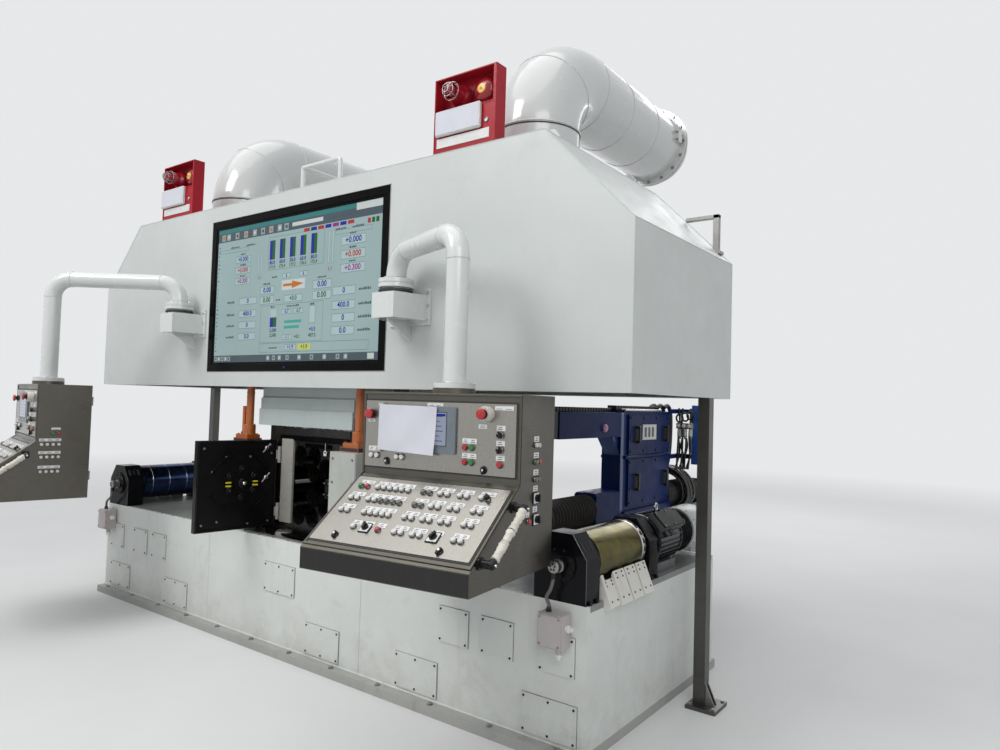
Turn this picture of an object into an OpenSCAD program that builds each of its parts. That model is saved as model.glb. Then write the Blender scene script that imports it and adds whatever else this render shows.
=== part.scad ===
// Reversing cold mill stand. A cluster of twenty rolls works in one housing on a welded bed, under a
// fume hood with two ducts. A deflector roll stands at each end, a thickness gauge slides in from the
// drive side, and two desks hang from swing arms on the hood's front.
// Millimetres. X runs along the strip, Y from the working side to the drive side, Z up from the floor.
// The modules below measure y from the bed's front plate, and each sub-part then shifts it by front_y.

/* [Bed] */
// Length of the bed along the strip
bed_l = 4440; // [4300:20:4600]
// Depth of the bed from the working side to the drive side
bed_d = 1560; // [1480:20:1800]
// Height of the deck over the floor
bed_h = 700; // [660:10:740]
// Thickness of the bed's plates
bed_wall = 25; // [16:1:40]
// Thickness of the deck plates
deck_t = 30; // [20:1:40]
// Thickness of the base plate on the floor
foot_t = 50; // [30:5:60]
// How far the base plate stands out in front and behind
foot_proj = 60; // [40:5:80]
// Room between the housing and the edge of the pit in the deck
pit_gap = 50; // [30:5:80]
// Width of the deck's rim in front of the pit
rim_w = 70; // [50:5:90]

/* [Access covers] */
// Height of an access cover
cover_h = 180; // [140:10:190]
// Thickness of an access cover
cover_t = 8; // [4:1:12]
// Width of a cover in the lower row
cover_low_w = 300; // [240:10:320]
// Width of a cover in the upper row
cover_up_w = 195; // [160:5:220]
// Height of the lower row's middle over the floor
cover_low_z = 160; // [150:5:170]
// Height of the upper row's middle over the floor
cover_up_z = 460; // [440:5:480]

/* [Housing] */
// Width of the housing along the strip
mill_w = 1300; // [1240:20:1400]
// Depth of the housing
mill_d = 850; // [800:10:900]
// Distance from the bed's front plate to the housing
mill_y = 200; // [190:5:220]
// Height of the shoulders that carry the lift cylinders
shoulder_z = 1280; // [1270:5:1320]
// Room between the crown and a lift cylinder's pad
crown_gap = 57; // [50:1:70]
// Height of the crown over the floor
crown_z = 2150; // [2000:10:2300]
// Height of the strip over the floor
pass_z = 1020; // [1010:1:1030]

/* [Roll cluster] */
// Diameter of a work roll
work_d = 34; // [30:1:36]
// Diameter of a roll in the inner layer
inner_d = 50; // [48:1:54]
// Diameter of a roll in the second layer
second_d = 84; // [80:1:88]
// Diameter of a backing bearing
backing_d = 128; // [120:1:132]
// Diameter of a backing shaft
backing_shaft_d = 66; // [50:1:80]
// Length of a roll's face
face_l = 500; // [460:10:520]
// Running gap between two rolls
roll_gap = 0.6; // [0.3:0.1:0.8]

/* [Roll door] */
// Width of the roll door
door_w = 550; // [520:5:580]
// Height of the roll door
door_h = 575; // [550:5:600]
// Thickness of the roll door
door_t = 45; // [30:1:50]
// How far the door stands open
door_open = 97; // [80:1:105]
// Distance from the mill's middle to the hinge pin
hinge_x = 275; // [265:5:280]

/* [Lift cylinders] */
// Distance from the housing's flank to a lift cylinder's axis
lift_inset = 98; // [98:1:110]
// Diameter of a lift cylinder
lift_d = 52; // [45:1:60]
// Diameter of the collar at its foot
lift_collar_d = 82; // [72:2:90]

/* [Hood] */
// How far the hood reaches past each end of the bed
hood_over = 190; // [170:5:280]
// Depth of the hood
hood_d = 1265; // [1240:5:1400]
// Height of the hood's lower edge over the floor
hood_z = 1660; // [1650:5:1680]
// Height of the upright part of the hood's ends
hood_side_h = 780; // [740:10:820]
// How far the sloping part of an end runs inward and upward
hood_slope = 490; // [440:10:520]
// Thickness of the hood's sheet
sheet = 8; // [5:1:12]
// Side of a square post behind the hood's ends
post = 64; // [50:2:80]
// Distance from the hood's front to the rear posts
post_y = 965; // [940:5:1000]

/* [Ducts] */
// Distance from the hood's end to the middle of a duct
duct_inset = 950; // [920:10:970]
// Distance from the hood's front to a duct's neck
duct_y = 620; // [600:10:640]
// Outer diameter of a duct
duct_d = 500; // [460:10:520]
// Thickness of a duct's wall
duct_wall = 6; // [4:1:10]
// Radius of a duct's bend along its middle
duct_bend = 410; // [380:10:440]
// Height of a duct's neck
duct_neck = 240; // [200:10:260]
// Length of a duct's level run
duct_run = 1130; // [1000:10:1200]

/* [Display] */
// Width of the display
display_w = 1780; // [1700:10:1800]
// Height of the display
display_h = 1063; // [1000:1:1080]
// Thickness of the display
display_t = 75; // [60:5:80]
// Height of the display's lower edge over the hood's lower edge
display_lift = 100; // [80:5:120]
// Width of the display's border
bezel = 65; // [50:1:75]

/* [Swing arms] */
// Distance from the mill's middle to an arm's pivot
arm_x = 1075; // [1060:5:1090]
// Distance from the hood's front to an arm's pivot
arm_out = 120; // [110:5:140]
// Diameter of an arm's pipe
arm_d = 108; // [100:1:114]
// Height of the pipe's level run
arm_z = 2385; // [2360:5:2400]
// Height of the pivot's bearing face
pivot_z = 2195; // [2180:5:2210]
// Reach of the right arm
arm_reach_r = 660; // [640:10:680]
// Reach of the left arm
arm_reach_l = 875; // [850:5:900]
// Angle of the right arm, from the strip's direction
arm_turn_r = -20; // [-30:1:-15]
// Angle of the left arm, from the strip's direction
arm_turn_l = -140; // [-150:1:-130]
// Gap in a swivel's bearing
bearing_gap = 0.3; // [0.2:0.1:0.5]

/* [Desks] */
// Width of a desk
desk_w = 836; // [800:4:860]
// Depth of a desk's cabinet
cabinet_d = 310; // [290:5:330]
// Distance from the swivel to the cabinet's front
cabinet_front = 120; // [110:5:130]
// How far the sloping desk stands out from the cabinet
desk_out = 370; // [340:5:390]
// Height of the cabinet's top over the floor
desk_top = 1636; // [1625:1:1640]
// Height of the step between the cabinet's front and the desk
desk_step = 1262; // [1240:2:1280]
// Height of the desk's front edge
desk_edge = 985; // [970:5:1000]
// Height of the desk's underside
desk_base = 884; // [880:1:892]
// Turn of the right desk
desk_turn_r = 7; // [0:1:15]
// Turn of the left desk
desk_turn_l = -12; // [-20:1:0]

/* [Deflector rolls] */
// Distance from the end of the bed to a deflector roll's axis
deflector_inset = 150; // [145:5:160]
// Diameter of a deflector roll
deflector_d = 266; // [250:2:270]
// Height of a deflector roll's axis over the deck
deflector_h = 170; // [165:5:175]
// Distance from the bed's front plate to a deflector roll's face
deflector_y = 145; // [140:5:155]
// Width of a bearing block
block_w = 280; // [270:5:290]
// Thickness of the front bearing block
block_t = 125; // [110:5:130]
// Height of a bearing block
block_h = 312; // [306:2:325]
// Diameter of a deflector roll's motor
motor_d = 290; // [260:5:300]
// Length of a deflector roll's motor with its brake
motor_l = 820; // [700:10:840]

/* [Thickness gauge] */
// Distance from the end of the bed to the gauge's outer flank
gauge_inset = 670; // [650:10:690]
// Width of the gauge's frame
gauge_w = 165; // [155:5:180]
// Distance from the bed's front plate to the tip of the gauge
gauge_y = 706; // [700:2:720]
// Length of the gauge's arms
gauge_arm = 934; // [900:2:950]
// Depth of the gauge's column
gauge_col = 780; // [740:10:800]
// Height of the gauge's top over the floor
gauge_top = 1570; // [1560:2:1580]
// Height of an arm
gauge_arm_h = 165; // [150:5:170]
// Diameter of a bellows
bellows_d = 200; // [180:5:204]
// Travel of the gauge towards the strip
gauge_travel = 260; // [200:10:280]

/* [Hidden] */
$fn = 64;
eps = 0.01;
seat = 0.3;                       // clearance of a curved or turning face from its seat
front_y = -bed_d / 2;

hood_shoulder_z = hood_z + hood_side_h;
hood_top_z = hood_shoulder_z + hood_slope;
pad_reach = 95;                   // from a cylinder's axis to its pad's inner edge
hood_l = bed_l + 2 * hood_over;
hood_flat = hood_l - 2 * hood_slope;
duct_x = hood_l / 2 - duct_inset;
alarm_x = duct_x - 48;
alarm_w = 416;
alarm_h = 420;
deflector_x = bed_l / 2 - deflector_inset;
gauge_x = bed_l / 2 - gauge_inset;
lift_x = mill_w / 2 - lift_inset;
crown_w = 2 * (lift_x - pad_reach - crown_gap);
pit_w = mill_w + 2 * pit_gap;
pit_y1 = mill_y + mill_d + pit_gap;
mill_z0 = foot_t;
hinge_y = mill_y - 16;
door_back = 17;                   // from the hinge pin to the inner face of the shut door
hinge_span = 190;                 // height of a hinge over and under the door's middle
knuckle_h = 60;
knuckle_d = 24;
pin_d = 12;
lift_y = 135;                     // the front pair stands on the pillars beside the roll door
ear_x = lift_x - 132;
ear_y = 30;
pad_t = 28;
desk_lip = 12;                    // how far the skirt stands out under the sloping panel
guard_y = 150;
duct_z = hood_top_z + duct_neck + duct_bend;
duct_end = duct_y + duct_bend + duct_run;
flange_t = 20;
deflector_z = bed_h + deflector_h;
roll_back = deflector_y + 445;
ring_t = 50;                      // end ring of a deflector roll
rear_block_y = roll_back + ring_t + 15;
motor_y = rear_block_y + 110;
rail_h = 90;
stand_y0 = 720;
stand_y1 = 3060;

// A box between two corners, with y measured from the bed's front plate.
module blk(x, y, z) {
    translate([x[0], y[0] + front_y, z[0]]) cube([x[1] - x[0], y[1] - y[0], z[1] - z[0]]);
}

// Moves its children to a place measured from the bed's front plate.
module at(x, y, z) {
    translate([x, y + front_y, z]) children();
}

// A cylinder along Y that starts at y0 and ends at y1.
module bar_y(x, z, y0, y1, d) {
    at(x, y0, z) rotate([-90, 0, 0]) cylinder(d = d, h = y1 - y0);
}

// An outline drawn in X and Z, as thick as y0 to y1.
module profile_y(y0, y1) {
    at(0, y1, 0) rotate([90, 0, 0]) linear_extrude(y1 - y0) children();
}

module both_ends() {
    for (s = [-1, 1]) scale_x(s) children();
}

module scale_x(s) {
    if (s > 0) children();
    else mirror([1, 0, 0]) children();
}

// ---- bed ----

module bed_base_plate() color("lightgray")
    blk([-bed_l / 2, bed_l / 2], [-foot_proj, bed_d + foot_proj], [0, foot_t]);

module bed_side_plates() color("lightgray") for (y = [0, bed_d - bed_wall])
    blk([-bed_l / 2, bed_l / 2], [y, y + bed_wall], [foot_t, bed_h]);

module bed_end_plates() color("lightgray") both_ends()
    blk([bed_l / 2 - bed_wall, bed_l / 2], [bed_wall, bed_d - bed_wall], [foot_t, bed_h - deck_t]);

module bed_deck() color("silver") {
    both_ends() blk([pit_w / 2, bed_l / 2], [bed_wall, bed_d - bed_wall], [bed_h - deck_t, bed_h]);
    blk([-pit_w / 2 + eps, pit_w / 2 - eps], [bed_wall, rim_w], [bed_h - deck_t, bed_h]);
    blk([-pit_w / 2 + eps, pit_w / 2 - eps], [pit_y1, bed_d - bed_wall], [bed_h - deck_t, bed_h]);
}

module cover(x, z, w) {
    blk([x - w / 2, x + w / 2], [-cover_t, 0], [z - cover_h / 2, z + cover_h / 2]);
}

module access_covers() color("gainsboro") {
    e = bed_l / 2;
    for (x = [240 - e, 1055 - e, 445, e - 1020, e - 190]) cover(x, cover_low_z, cover_low_w);
    for (x = [175 - e, 530 - e, 800 - e, e - 770, e - 495, e - 155]) cover(x, cover_up_z, cover_up_w);
    cover(25, cover_up_z, cover_low_w);
}

// ---- roll cluster: each layer rests in the hollows of the layer under it ----

// The point at distance ra from a and rb from b that lies to the right of the way from a to b.
function meet(a, ra, b, rb) =
    let (d = norm(b - a), u = (b - a) / d, k = (ra * ra - rb * rb + d * d) / (2 * d),
         h = sqrt(ra * ra - k * k))
    a + k * u - h * [-u[1], u[0]];

rw = work_d / 2;
r1 = inner_d / 2;
r2 = second_d / 2;
rb = backing_d / 2;
saddle_rib = 6;                   // room between two backing bearings
c_work = [0, rw + roll_gap / 2];
c_inner = [r1 + roll_gap / 2, c_work[1] + sqrt(pow(rw + r1 + roll_gap, 2) - pow(r1 + roll_gap / 2, 2))];
c_mid = [0, c_inner[1] + sqrt(pow(r1 + r2 + roll_gap, 2) - pow(c_inner[0], 2))];
c_side = meet(c_inner, r1 + r2 + roll_gap, c_mid, 2 * r2 + roll_gap);
c_top = meet(c_side, r2 + rb + roll_gap, c_mid, r2 + rb + roll_gap);
c_low = meet(c_side, r2 + rb + roll_gap, c_top, 2 * rb + saddle_rib);
roll_y0 = mill_y + 60;
second_end = roll_y0 + face_l + 120;

// Repeats its children above and below the strip, and to the left and right of the middle.
module four_ways() {
    for (sx = [-1, 1]) for (sz = [-1, 1])
        translate([0, 0, pass_z]) mirror([sx < 0 ? 1 : 0, 0, 0]) mirror([0, 0, sz < 0 ? 1 : 0]) children();
}

module two_ways() {
    for (sz = [-1, 1]) translate([0, 0, pass_z]) mirror([0, 0, sz < 0 ? 1 : 0]) children();
}

module backing_rolls() color("dimgray") four_ways() for (c = [c_top, c_low]) {
    bar_y(c[0], c[1], roll_y0 - 20, roll_y0 + face_l + 60, backing_shaft_d);
    for (i = [0:4]) let (w = face_l / 5 - 12)
        bar_y(c[0], c[1], roll_y0 + i * face_l / 5 + 6, roll_y0 + i * face_l / 5 + 6 + w, backing_d);
}

module second_rolls() color("silver") {
    four_ways() bar_y(c_side[0], c_side[1], roll_y0, roll_y0 + face_l + 120, second_d);
    two_ways() bar_y(0, c_mid[1], roll_y0, roll_y0 + face_l, second_d);
}

module inner_rolls() color("silver")
    four_ways() bar_y(c_inner[0], c_inner[1], roll_y0 - 5, roll_y0 + face_l, inner_d);

module work_rolls() color("white")
    two_ways() bar_y(0, c_work[1], roll_y0 - 10, roll_y0 + face_l, work_d);

// ---- housing ----

module cluster_bore_2d() {
    for (sx = [-1, 1]) for (sz = [-1, 1]) {
        for (c = [c_top, c_low]) translate([sx * c[0], sz * c[1]]) circle(d = backing_d + 2 * seat);
        translate([sx * c_side[0], sz * c_side[1]]) circle(d = second_d + 6);
    }
    square([2 * c_low[0], 2 * (c_low[1] - 10)], center = true);
    square([2 * c_top[0], 2 * c_top[1]], center = true);
}

module housing_2d() {
    w = mill_w / 2;
    c = crown_w / 2;
    polygon([[-w, mill_z0], [w, mill_z0], [w, shoulder_z], [c + 30, shoulder_z], [c, shoulder_z + 30],
        [c, crown_z - 80], [c - 80, crown_z], [-c + 80, crown_z], [-c, crown_z - 80],
        [-c, shoulder_z + 30], [-c - 30, shoulder_z], [-w, shoulder_z]]);
}

// A pillar at each side of the roll door; it stands on the deck's rim and carries a lift cylinder.
module front_pillars() both_ends()
    blk([ear_x, mill_w / 2], [ear_y, mill_y + eps], [bed_h, shoulder_z]);

module mill_housing() color("whitesmoke") difference() {
    union() {
        profile_y(mill_y, mill_y + mill_d) housing_2d();
        front_pillars();
    }
    translate([0, 0, pass_z]) profile_y(mill_y - 1, mill_y + mill_d + 1) cluster_bore_2d();
    // strip windows, wide at the outside
    translate([0, 0, pass_z]) profile_y(roll_y0 - 10, roll_y0 + face_l + 70)
        polygon([[-mill_w / 2 - 1, 90], [-mill_w / 4, 40], [mill_w / 4, 40], [mill_w / 2 + 1, 90],
            [mill_w / 2 + 1, -90], [mill_w / 4, -40], [-mill_w / 4, -40], [-mill_w / 2 - 1, -90]]);
}

module housing_rear_cover() color("gray") {
    y = mill_y + mill_d;
    difference() {
        bar_y(0, pass_z, y, y + 30, 660);
        for (s = [-1, 1], t = [-1, 1])
            bar_y(s * c_side[0], pass_z + t * c_side[1], y - 1, y + 31, second_d - 20);
    }
}

module drive_couplings() color("darkslategray") {
    y = mill_y + mill_d;
    for (s = [-1, 1], t = [-1, 1]) {
        bar_y(s * c_side[0], pass_z + t * c_side[1], second_end + seat, y + 120, second_d - 24);
    }
}

module door_post() color("rosybrown") {
    for (z = [-hinge_span, hinge_span]) {
        for (e = [-knuckle_h / 2 - 24 - seat, knuckle_h / 2 + seat]) at(-hinge_x, hinge_y, pass_z + z + e) {
            cylinder(d = knuckle_d, h = 24);
            translate([-11, 0, 0]) cube([22, mill_y - hinge_y, 24]);
        }
        at(-hinge_x, hinge_y, pass_z + z - knuckle_h / 2 - 20) cylinder(d = pin_d, h = knuckle_h + 40);
    }
    blk([23 - hinge_x, 142 - hinge_x], [mill_y - 15, mill_y], [pass_z - door_h / 2 + 32, pass_z + door_h / 2 + 12]);
    // round pedestal in the pit below the jamb
    at(145 - hinge_x, mill_y - 62, foot_t) cylinder(d = 104, h = bed_h + 22 - foot_t);
    for (z = [-60, -10]) at(145 - hinge_x, mill_y - 62, bed_h + z) cylinder(d = 116, h = 24);
}

// The door is drawn shut, in a frame with the hinge pin at its origin, and then swung open.
module roll_door() color("black")
    at(-hinge_x, hinge_y, pass_z) rotate(-door_open) {
        translate([6, -door_back - door_t, -door_h / 2]) cube([door_w - 6, door_t, door_h]);
        for (z = [-hinge_span, hinge_span]) translate([0, 0, z - knuckle_h / 2]) difference() {
            union() {
                cylinder(d = knuckle_d, h = knuckle_h);
                translate([0, -door_back - 5, 0]) cube([30, door_back + 1, knuckle_h]);
            }
            translate([0, 0, -1]) cylinder(d = pin_d + 0.1, h = knuckle_h + 2);
        }
        // retaining plates that stand against the roll ends
        translate([hinge_x, -door_back, 0]) rotate([-90, 0, 0]) {
            cylinder(d = 60, h = 14);
            for (a = [30:60:330]) rotate(a) translate([78, 0, 0]) cylinder(d = 38, h = 10);
            for (a = [22.5:45:337.5]) rotate(a) translate([150, 0, 0]) cylinder(d = 60, h = 4);
        }
    }

// Three overlapping plates, each behind and above the last.
module upper_guard() color("lightsteelblue") {
    w = lift_x - 82;
    z = shoulder_z;
    blk([-w, w], [guard_y, guard_y + 12], [z + 125, z + 235]);
    blk([-w, w], [guard_y + 12, guard_y + 26], [z + 200, z + 310]);
    blk([-w, w], [guard_y + 26, mill_y], [z + 280, z + 680]);
}

// A thin cylinder on an oblong foot that reaches further to the entry side than to the exit side.
module lift_cylinder() {
    z = shoulder_z + pad_t;
    at(-pad_reach, -60, shoulder_z) cube([pad_reach + 60, 120, pad_t]);
    at(10 - pad_reach, -50, z) cube([pad_reach + 40, 100, 25]);
    at(0, 0, z + 25) cylinder(d = lift_collar_d, h = 62);
    at(0, 0, z + 87) cylinder(d = lift_d, h = hood_z + 565 - z - 87);
}

module lift_cylinders() color("darkorange")
    for (x = [-lift_x, lift_x], y = [lift_y, mill_y + mill_d - lift_y]) translate([x, y, 0]) {
        lift_cylinder();
        // guide rod beside the entry side's cylinders
        if (x < 0) at(-64, 0, shoulder_z + pad_t + 25) cylinder(d = 28, h = 190);
    }

// ---- hood ----

module hood_columns() color("darkslategray") both_ends()
    blk([crown_w / 2 + 70, crown_w / 2 + 130], [mill_y + 300, mill_y + 380], [shoulder_z, hood_top_z - sheet]);

module hood_outline() {
    w = hood_l / 2;
    f = hood_flat / 2;
    polygon([[-w, hood_z], [w, hood_z], [w, hood_shoulder_z], [f, hood_top_z], [-f, hood_top_z],
        [-w, hood_shoulder_z]]);
}

module display_window(grow) {
    z = hood_z + display_lift;
    blk([-display_w / 2 - grow, display_w / 2 + grow], [-1, sheet + 1], [z - grow, z + display_h + grow]);
}

module hood_front() color("whitesmoke") difference() {
    profile_y(0, sheet) hood_outline();
    display_window(0);
}

module hood_rear() color("whitesmoke") profile_y(hood_d - sheet, hood_d) hood_outline();

// One bent sheet: upright at the end, then sloping up to the roof.
module hood_end() profile_y(sheet, hood_d - sheet) {
    w = hood_l / 2;
    f = hood_flat / 2;
    s = sheet * tan(22.5);
    polygon([[w, hood_z], [w, hood_shoulder_z], [f, hood_top_z], [f, hood_top_z - sheet * sqrt(2)],
        [w - sheet, hood_shoulder_z - s], [w - sheet, hood_z]]);
}

module hood_ends() color("whitesmoke") both_ends() hood_end();

module hood_roof() color("whitesmoke") difference() {
    blk([-hood_flat / 2, hood_flat / 2], [sheet, hood_d - sheet], [hood_top_z - sheet, hood_top_z]);
    both_ends() at(duct_x, duct_y, hood_top_z - sheet - 1) cylinder(d = duct_d - 2 * duct_wall, h = sheet + 2);
}

module hood_posts() color("dimgray") both_ends() {
    x = hood_l / 2 - sheet;
    blk([x - post, x], [post_y, post_y + post], [20, hood_shoulder_z - 40]);
    blk([x - post - 20, x + 80], [post_y - 60, post_y + post + 60], [0, 20]);
}

// The display is let into the hood's front and hangs on it by a rim behind the sheet.
module display() color("black") difference() {
    z = hood_z + display_lift;
    union() {
        blk([-display_w / 2, display_w / 2], [3, display_t], [z, z + display_h]);
        blk([-display_w / 2 - 30, display_w / 2 + 30], [sheet, sheet + 12], [z - 30, z + display_h + 30]);
    }
    blk([-display_w / 2 + bezel, display_w / 2 - bezel], [0, 16], [z + bezel, z + display_h - bezel]);
}

module display_glass() color("paleturquoise") {
    z = hood_z + display_lift;
    blk([-display_w / 2 + bezel, display_w / 2 - bezel], [8, 16], [z + bezel, z + display_h - bezel]);
}

// A shallow sheet box with an open niche over a closed lower panel.
module alarm_boxes() color("firebrick") for (x = [-alarm_x - 10, alarm_x - 17]) difference() {
    blk([x - alarm_w / 2, x + alarm_w / 2], [20, 104], [hood_top_z, hood_top_z + alarm_h]);
    blk([x - alarm_w / 2 + 6, x + alarm_w / 2 - 18], [19, 98], [hood_top_z + 228, hood_top_z + alarm_h - 6]);
}

// ---- ducts: a neck on the roof, a bend and a level run to a flange ----

module duct(x) {
    at(x, duct_y, hood_top_z) difference() {
        union() {
            cylinder(d = duct_d, h = duct_neck);
            cylinder(d = duct_d + 60, h = 12);
        }
        translate([0, 0, -1]) cylinder(d = duct_d - 2 * duct_wall, h = duct_neck + 2);
    }
    at(x, duct_y + duct_bend, hood_top_z + duct_neck) rotate([90, 0, -90]) rotate_extrude(angle = 90)
        translate([duct_bend, 0]) difference() {
            circle(d = duct_d);
            circle(d = duct_d - 2 * duct_wall);
        }
    difference() {
        union() {
            bar_y(x, duct_z, duct_y + duct_bend, duct_end, duct_d);
            bar_y(x, duct_z, duct_end - flange_t, duct_end, duct_d + 80);
        }
        bar_y(x, duct_z, duct_y + duct_bend - 1, duct_end + 1, duct_d - 2 * duct_wall);
    }
}

module duct_left() color("whitesmoke") duct(-duct_x);

module duct_right() color("whitesmoke") duct(duct_x);

module duct_collars() color("gray") for (x = [-duct_x, duct_x]) difference() {
    union() {
        bar_y(x, duct_z, duct_end, duct_end + flange_t, duct_d + 80);
        bar_y(x, duct_z, duct_end, duct_end + 110, duct_d);
    }
    bar_y(x, duct_z, duct_end - 1, duct_end + 111, duct_d - 2 * duct_wall);
}

// ---- swing arms and desks ----

module arm_brackets() color("whitesmoke") both_ends() at(arm_x, -arm_out, 0) {
    translate([0, 0, pivot_z - 165]) linear_extrude(135)
        polygon([[-80, -95], [80, -95], [130, arm_out], [-130, arm_out]]);
    translate([-150, arm_out - 12, pivot_z - 190]) cube([300, 12, 200]);
    translate([0, 0, pivot_z - 31]) cylinder(d = 150, h = 31);
    // gusset under the box
    translate([-8, 0, pivot_z - 166]) rotate([90, 0, 90]) linear_extrude(16)
        polygon([[-60, 2], [arm_out - 1, 2], [arm_out - 1, -110]]);
}

// A pipe that rises, runs level and comes down again, from the pivot to the swivel at its far end.
module arm(reach) {
    r = 130;
    z0 = pivot_z + bearing_gap;
    z1 = desk_top + 24 + bearing_gap;
    cylinder_tube(0, z0, arm_z - r);
    cylinder_tube(reach, z1, arm_z - r);
    translate([r, 0, arm_z - r]) rotate([90, 0, 180]) rotate_extrude(angle = 90)
        translate([r, 0]) circle(d = arm_d);
    translate([reach - r, 0, arm_z - r]) rotate([90, 0, 0]) rotate_extrude(angle = 90)
        translate([r, 0]) circle(d = arm_d);
    translate([r, 0, arm_z]) rotate([0, 90, 0]) cylinder(d = arm_d, h = reach - 2 * r);
    translate([0, 0, z0]) cylinder(d = 190, h = 21);
    translate([0, 0, z0 + 21]) cylinder(d = 182, h = 4);
    translate([0, 0, z0 + 25]) cylinder(d = 190, h = 21);
    translate([reach, 0, z1]) cylinder(d = 195, h = 22);
}

module cylinder_tube(x, z0, z1) {
    translate([x, 0, z0]) cylinder(d = arm_d, h = z1 - z0);
}

module on_arm(side) {
    at(side * arm_x, -arm_out, 0) rotate(side > 0 ? arm_turn_r : arm_turn_l) children();
}

module on_desk(side) {
    turn = side > 0 ? arm_turn_r : arm_turn_l;
    reach = side > 0 ? arm_reach_r : arm_reach_l;
    on_arm(side) translate([reach, 0, 0]) rotate(-turn + (side > 0 ? desk_turn_r : desk_turn_l)) children();
}

module arm_left() color("whitesmoke") on_arm(-1) arm(arm_reach_l);

module arm_right() color("whitesmoke") on_arm(1) arm(arm_reach_r);

// Side view of a desk: y is negative towards the operator.
module desk_2d() {
    f = -cabinet_front;
    b = cabinet_d - cabinet_front;
    polygon([[b, desk_base], [f - desk_out - desk_lip, desk_base], [f - desk_out - desk_lip, desk_edge - 10],
        [f - desk_out, desk_edge], [f, desk_step], [f, desk_top], [b, desk_top]]);
}

module desk() {
    translate([-desk_w / 2, 0, 0]) rotate([90, 0, 90]) linear_extrude(desk_w) desk_2d();
    translate([0, 0, desk_top]) cylinder(d = 195, h = 24);
}

module desk_left() color("silver") on_desk(-1) desk();

module desk_right() color("silver") on_desk(1) desk();

module desk_handle() {
    x = desk_w / 2;
    top = [-55 - cabinet_front, desk_step - 82];
    low = [-305 - cabinet_front, desk_edge + 15];
    d = low - top;
    for (p = [top, low]) translate([x, p[0], p[1]]) rotate([0, 90, 0]) cylinder(d = 18, h = 50);
    translate([x + 50, top[0], top[1]]) rotate([atan2(-d[0], d[1]), 0, 0])
        translate([0, 0, -20]) cylinder(d = 34, h = norm(d) + 40);
}

module desk_handle_left() color("white") on_desk(-1) desk_handle();

module desk_handle_right() color("white") on_desk(1) desk_handle();

// ---- deflector rolls ----

module block_2d() {
    w = block_w / 2;
    polygon([[-w, 0], [w, 0], [w, block_h - 110], [w - 76, block_h], [-w + 76, block_h], [-w, block_h - 110]]);
}

module bearing_block(y0, y1) {
    difference() {
        translate([0, 0, bed_h]) profile_y(y0, y1) block_2d();
        bar_y(0, deflector_z, y0 + 35, y1 + 1, 90 + 2 * seat);
    }
}

module bearing_blocks() color("black") both_ends() translate([deflector_x, 0, 0]) {
    bearing_block(0, block_t);
    difference() {
        translate([0, 0, bed_h]) profile_y(rear_block_y, motor_y) block_2d();
        bar_y(0, deflector_z, roll_back, motor_y + 1, 90 + 2 * seat);
    }
    bar_y(0, deflector_z, -8, 0, 170);
}

module deflector() {
    bar_y(0, deflector_z, deflector_y, roll_back, deflector_d);
    bar_y(0, deflector_z, 45, motor_y - 20, 90);
    bar_y(0, deflector_z, roll_back, roll_back + ring_t, deflector_d - 6);
}

module entry_roll() color("dimgray") translate([-deflector_x, 0, 0]) deflector();

module exit_roll() color("darkkhaki") translate([deflector_x, 0, 0]) deflector();

module roll_motors() color("dimgray") both_ends() translate([deflector_x, 0, 0]) {
    bar_y(0, deflector_z, motor_y, motor_y + 30, motor_d);
    bar_y(0, deflector_z, motor_y + 30, motor_y + 330, motor_d - 30);
    bar_y(0, deflector_z, motor_y + 330, motor_y + motor_l, motor_d - 46);
    // terminal box on the upper outer quarter
    profile_y(motor_y + 45, motor_y + 325) translate([0, deflector_z]) rotate(45)
        translate([motor_d / 2 - 45, -55]) square([68, 110]);
    blk([-110, 110], [motor_y + 40, motor_y + 300], [bed_h, deflector_z - motor_d / 2 + 30]);
}

// A steep slat over the bed's end edge, w wide along Y.
module guide_slat(y, w, drop) {
    translate([bed_l / 2, y + w + front_y, bed_h]) rotate([90, 0, 0]) linear_extrude(w)
        polygon([[-26, 0], [-26, 96 - drop], [-20, 112 - drop], [42 - drop / 3, -34], [28 - drop / 3, -44],
            [0, -44], [0, 0]]);
}

module strip_guides() color("antiquewhite") both_ends() {
    for (i = [0:2]) guide_slat(deflector_y + 123 + i * 121, 108, 0);
    guide_slat(deflector_y + 5, 24, 0);
    guide_slat(deflector_y + 31, 90, 30);
}

// ---- thickness gauge ----

module gauge_stand() color("lightgray") {
    x0 = gauge_x - gauge_w - 60;
    x1 = gauge_x + 60;
    blk([x0, x1], [stand_y0, stand_y1], [bed_h, bed_h + rail_h]);
    for (x = [x0 + 40, x1 - 80]) blk([x, x + 40], [stand_y0 + 20, stand_y1 - 20], [bed_h + rail_h, bed_h + rail_h + 30]);
    blk([x0 + 40, x1 - 40], [stand_y1 - 220, stand_y1 - 60], [20, bed_h]);
    blk([x0, x1], [stand_y1 - 270, stand_y1 - 10], [0, 20]);
    for (y = [stand_y0, stand_y1 - 20])
        blk([x0 + 60, x1 - 60], [y, y + 20], [bed_h + rail_h, bed_h + rail_h + 215]);
}

carriage_z = bed_h + rail_h + 30;
col_y0 = gauge_y + gauge_arm;
col_y1 = col_y0 + gauge_col;
gauge_low = 360;                  // length of the lower arm

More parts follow.
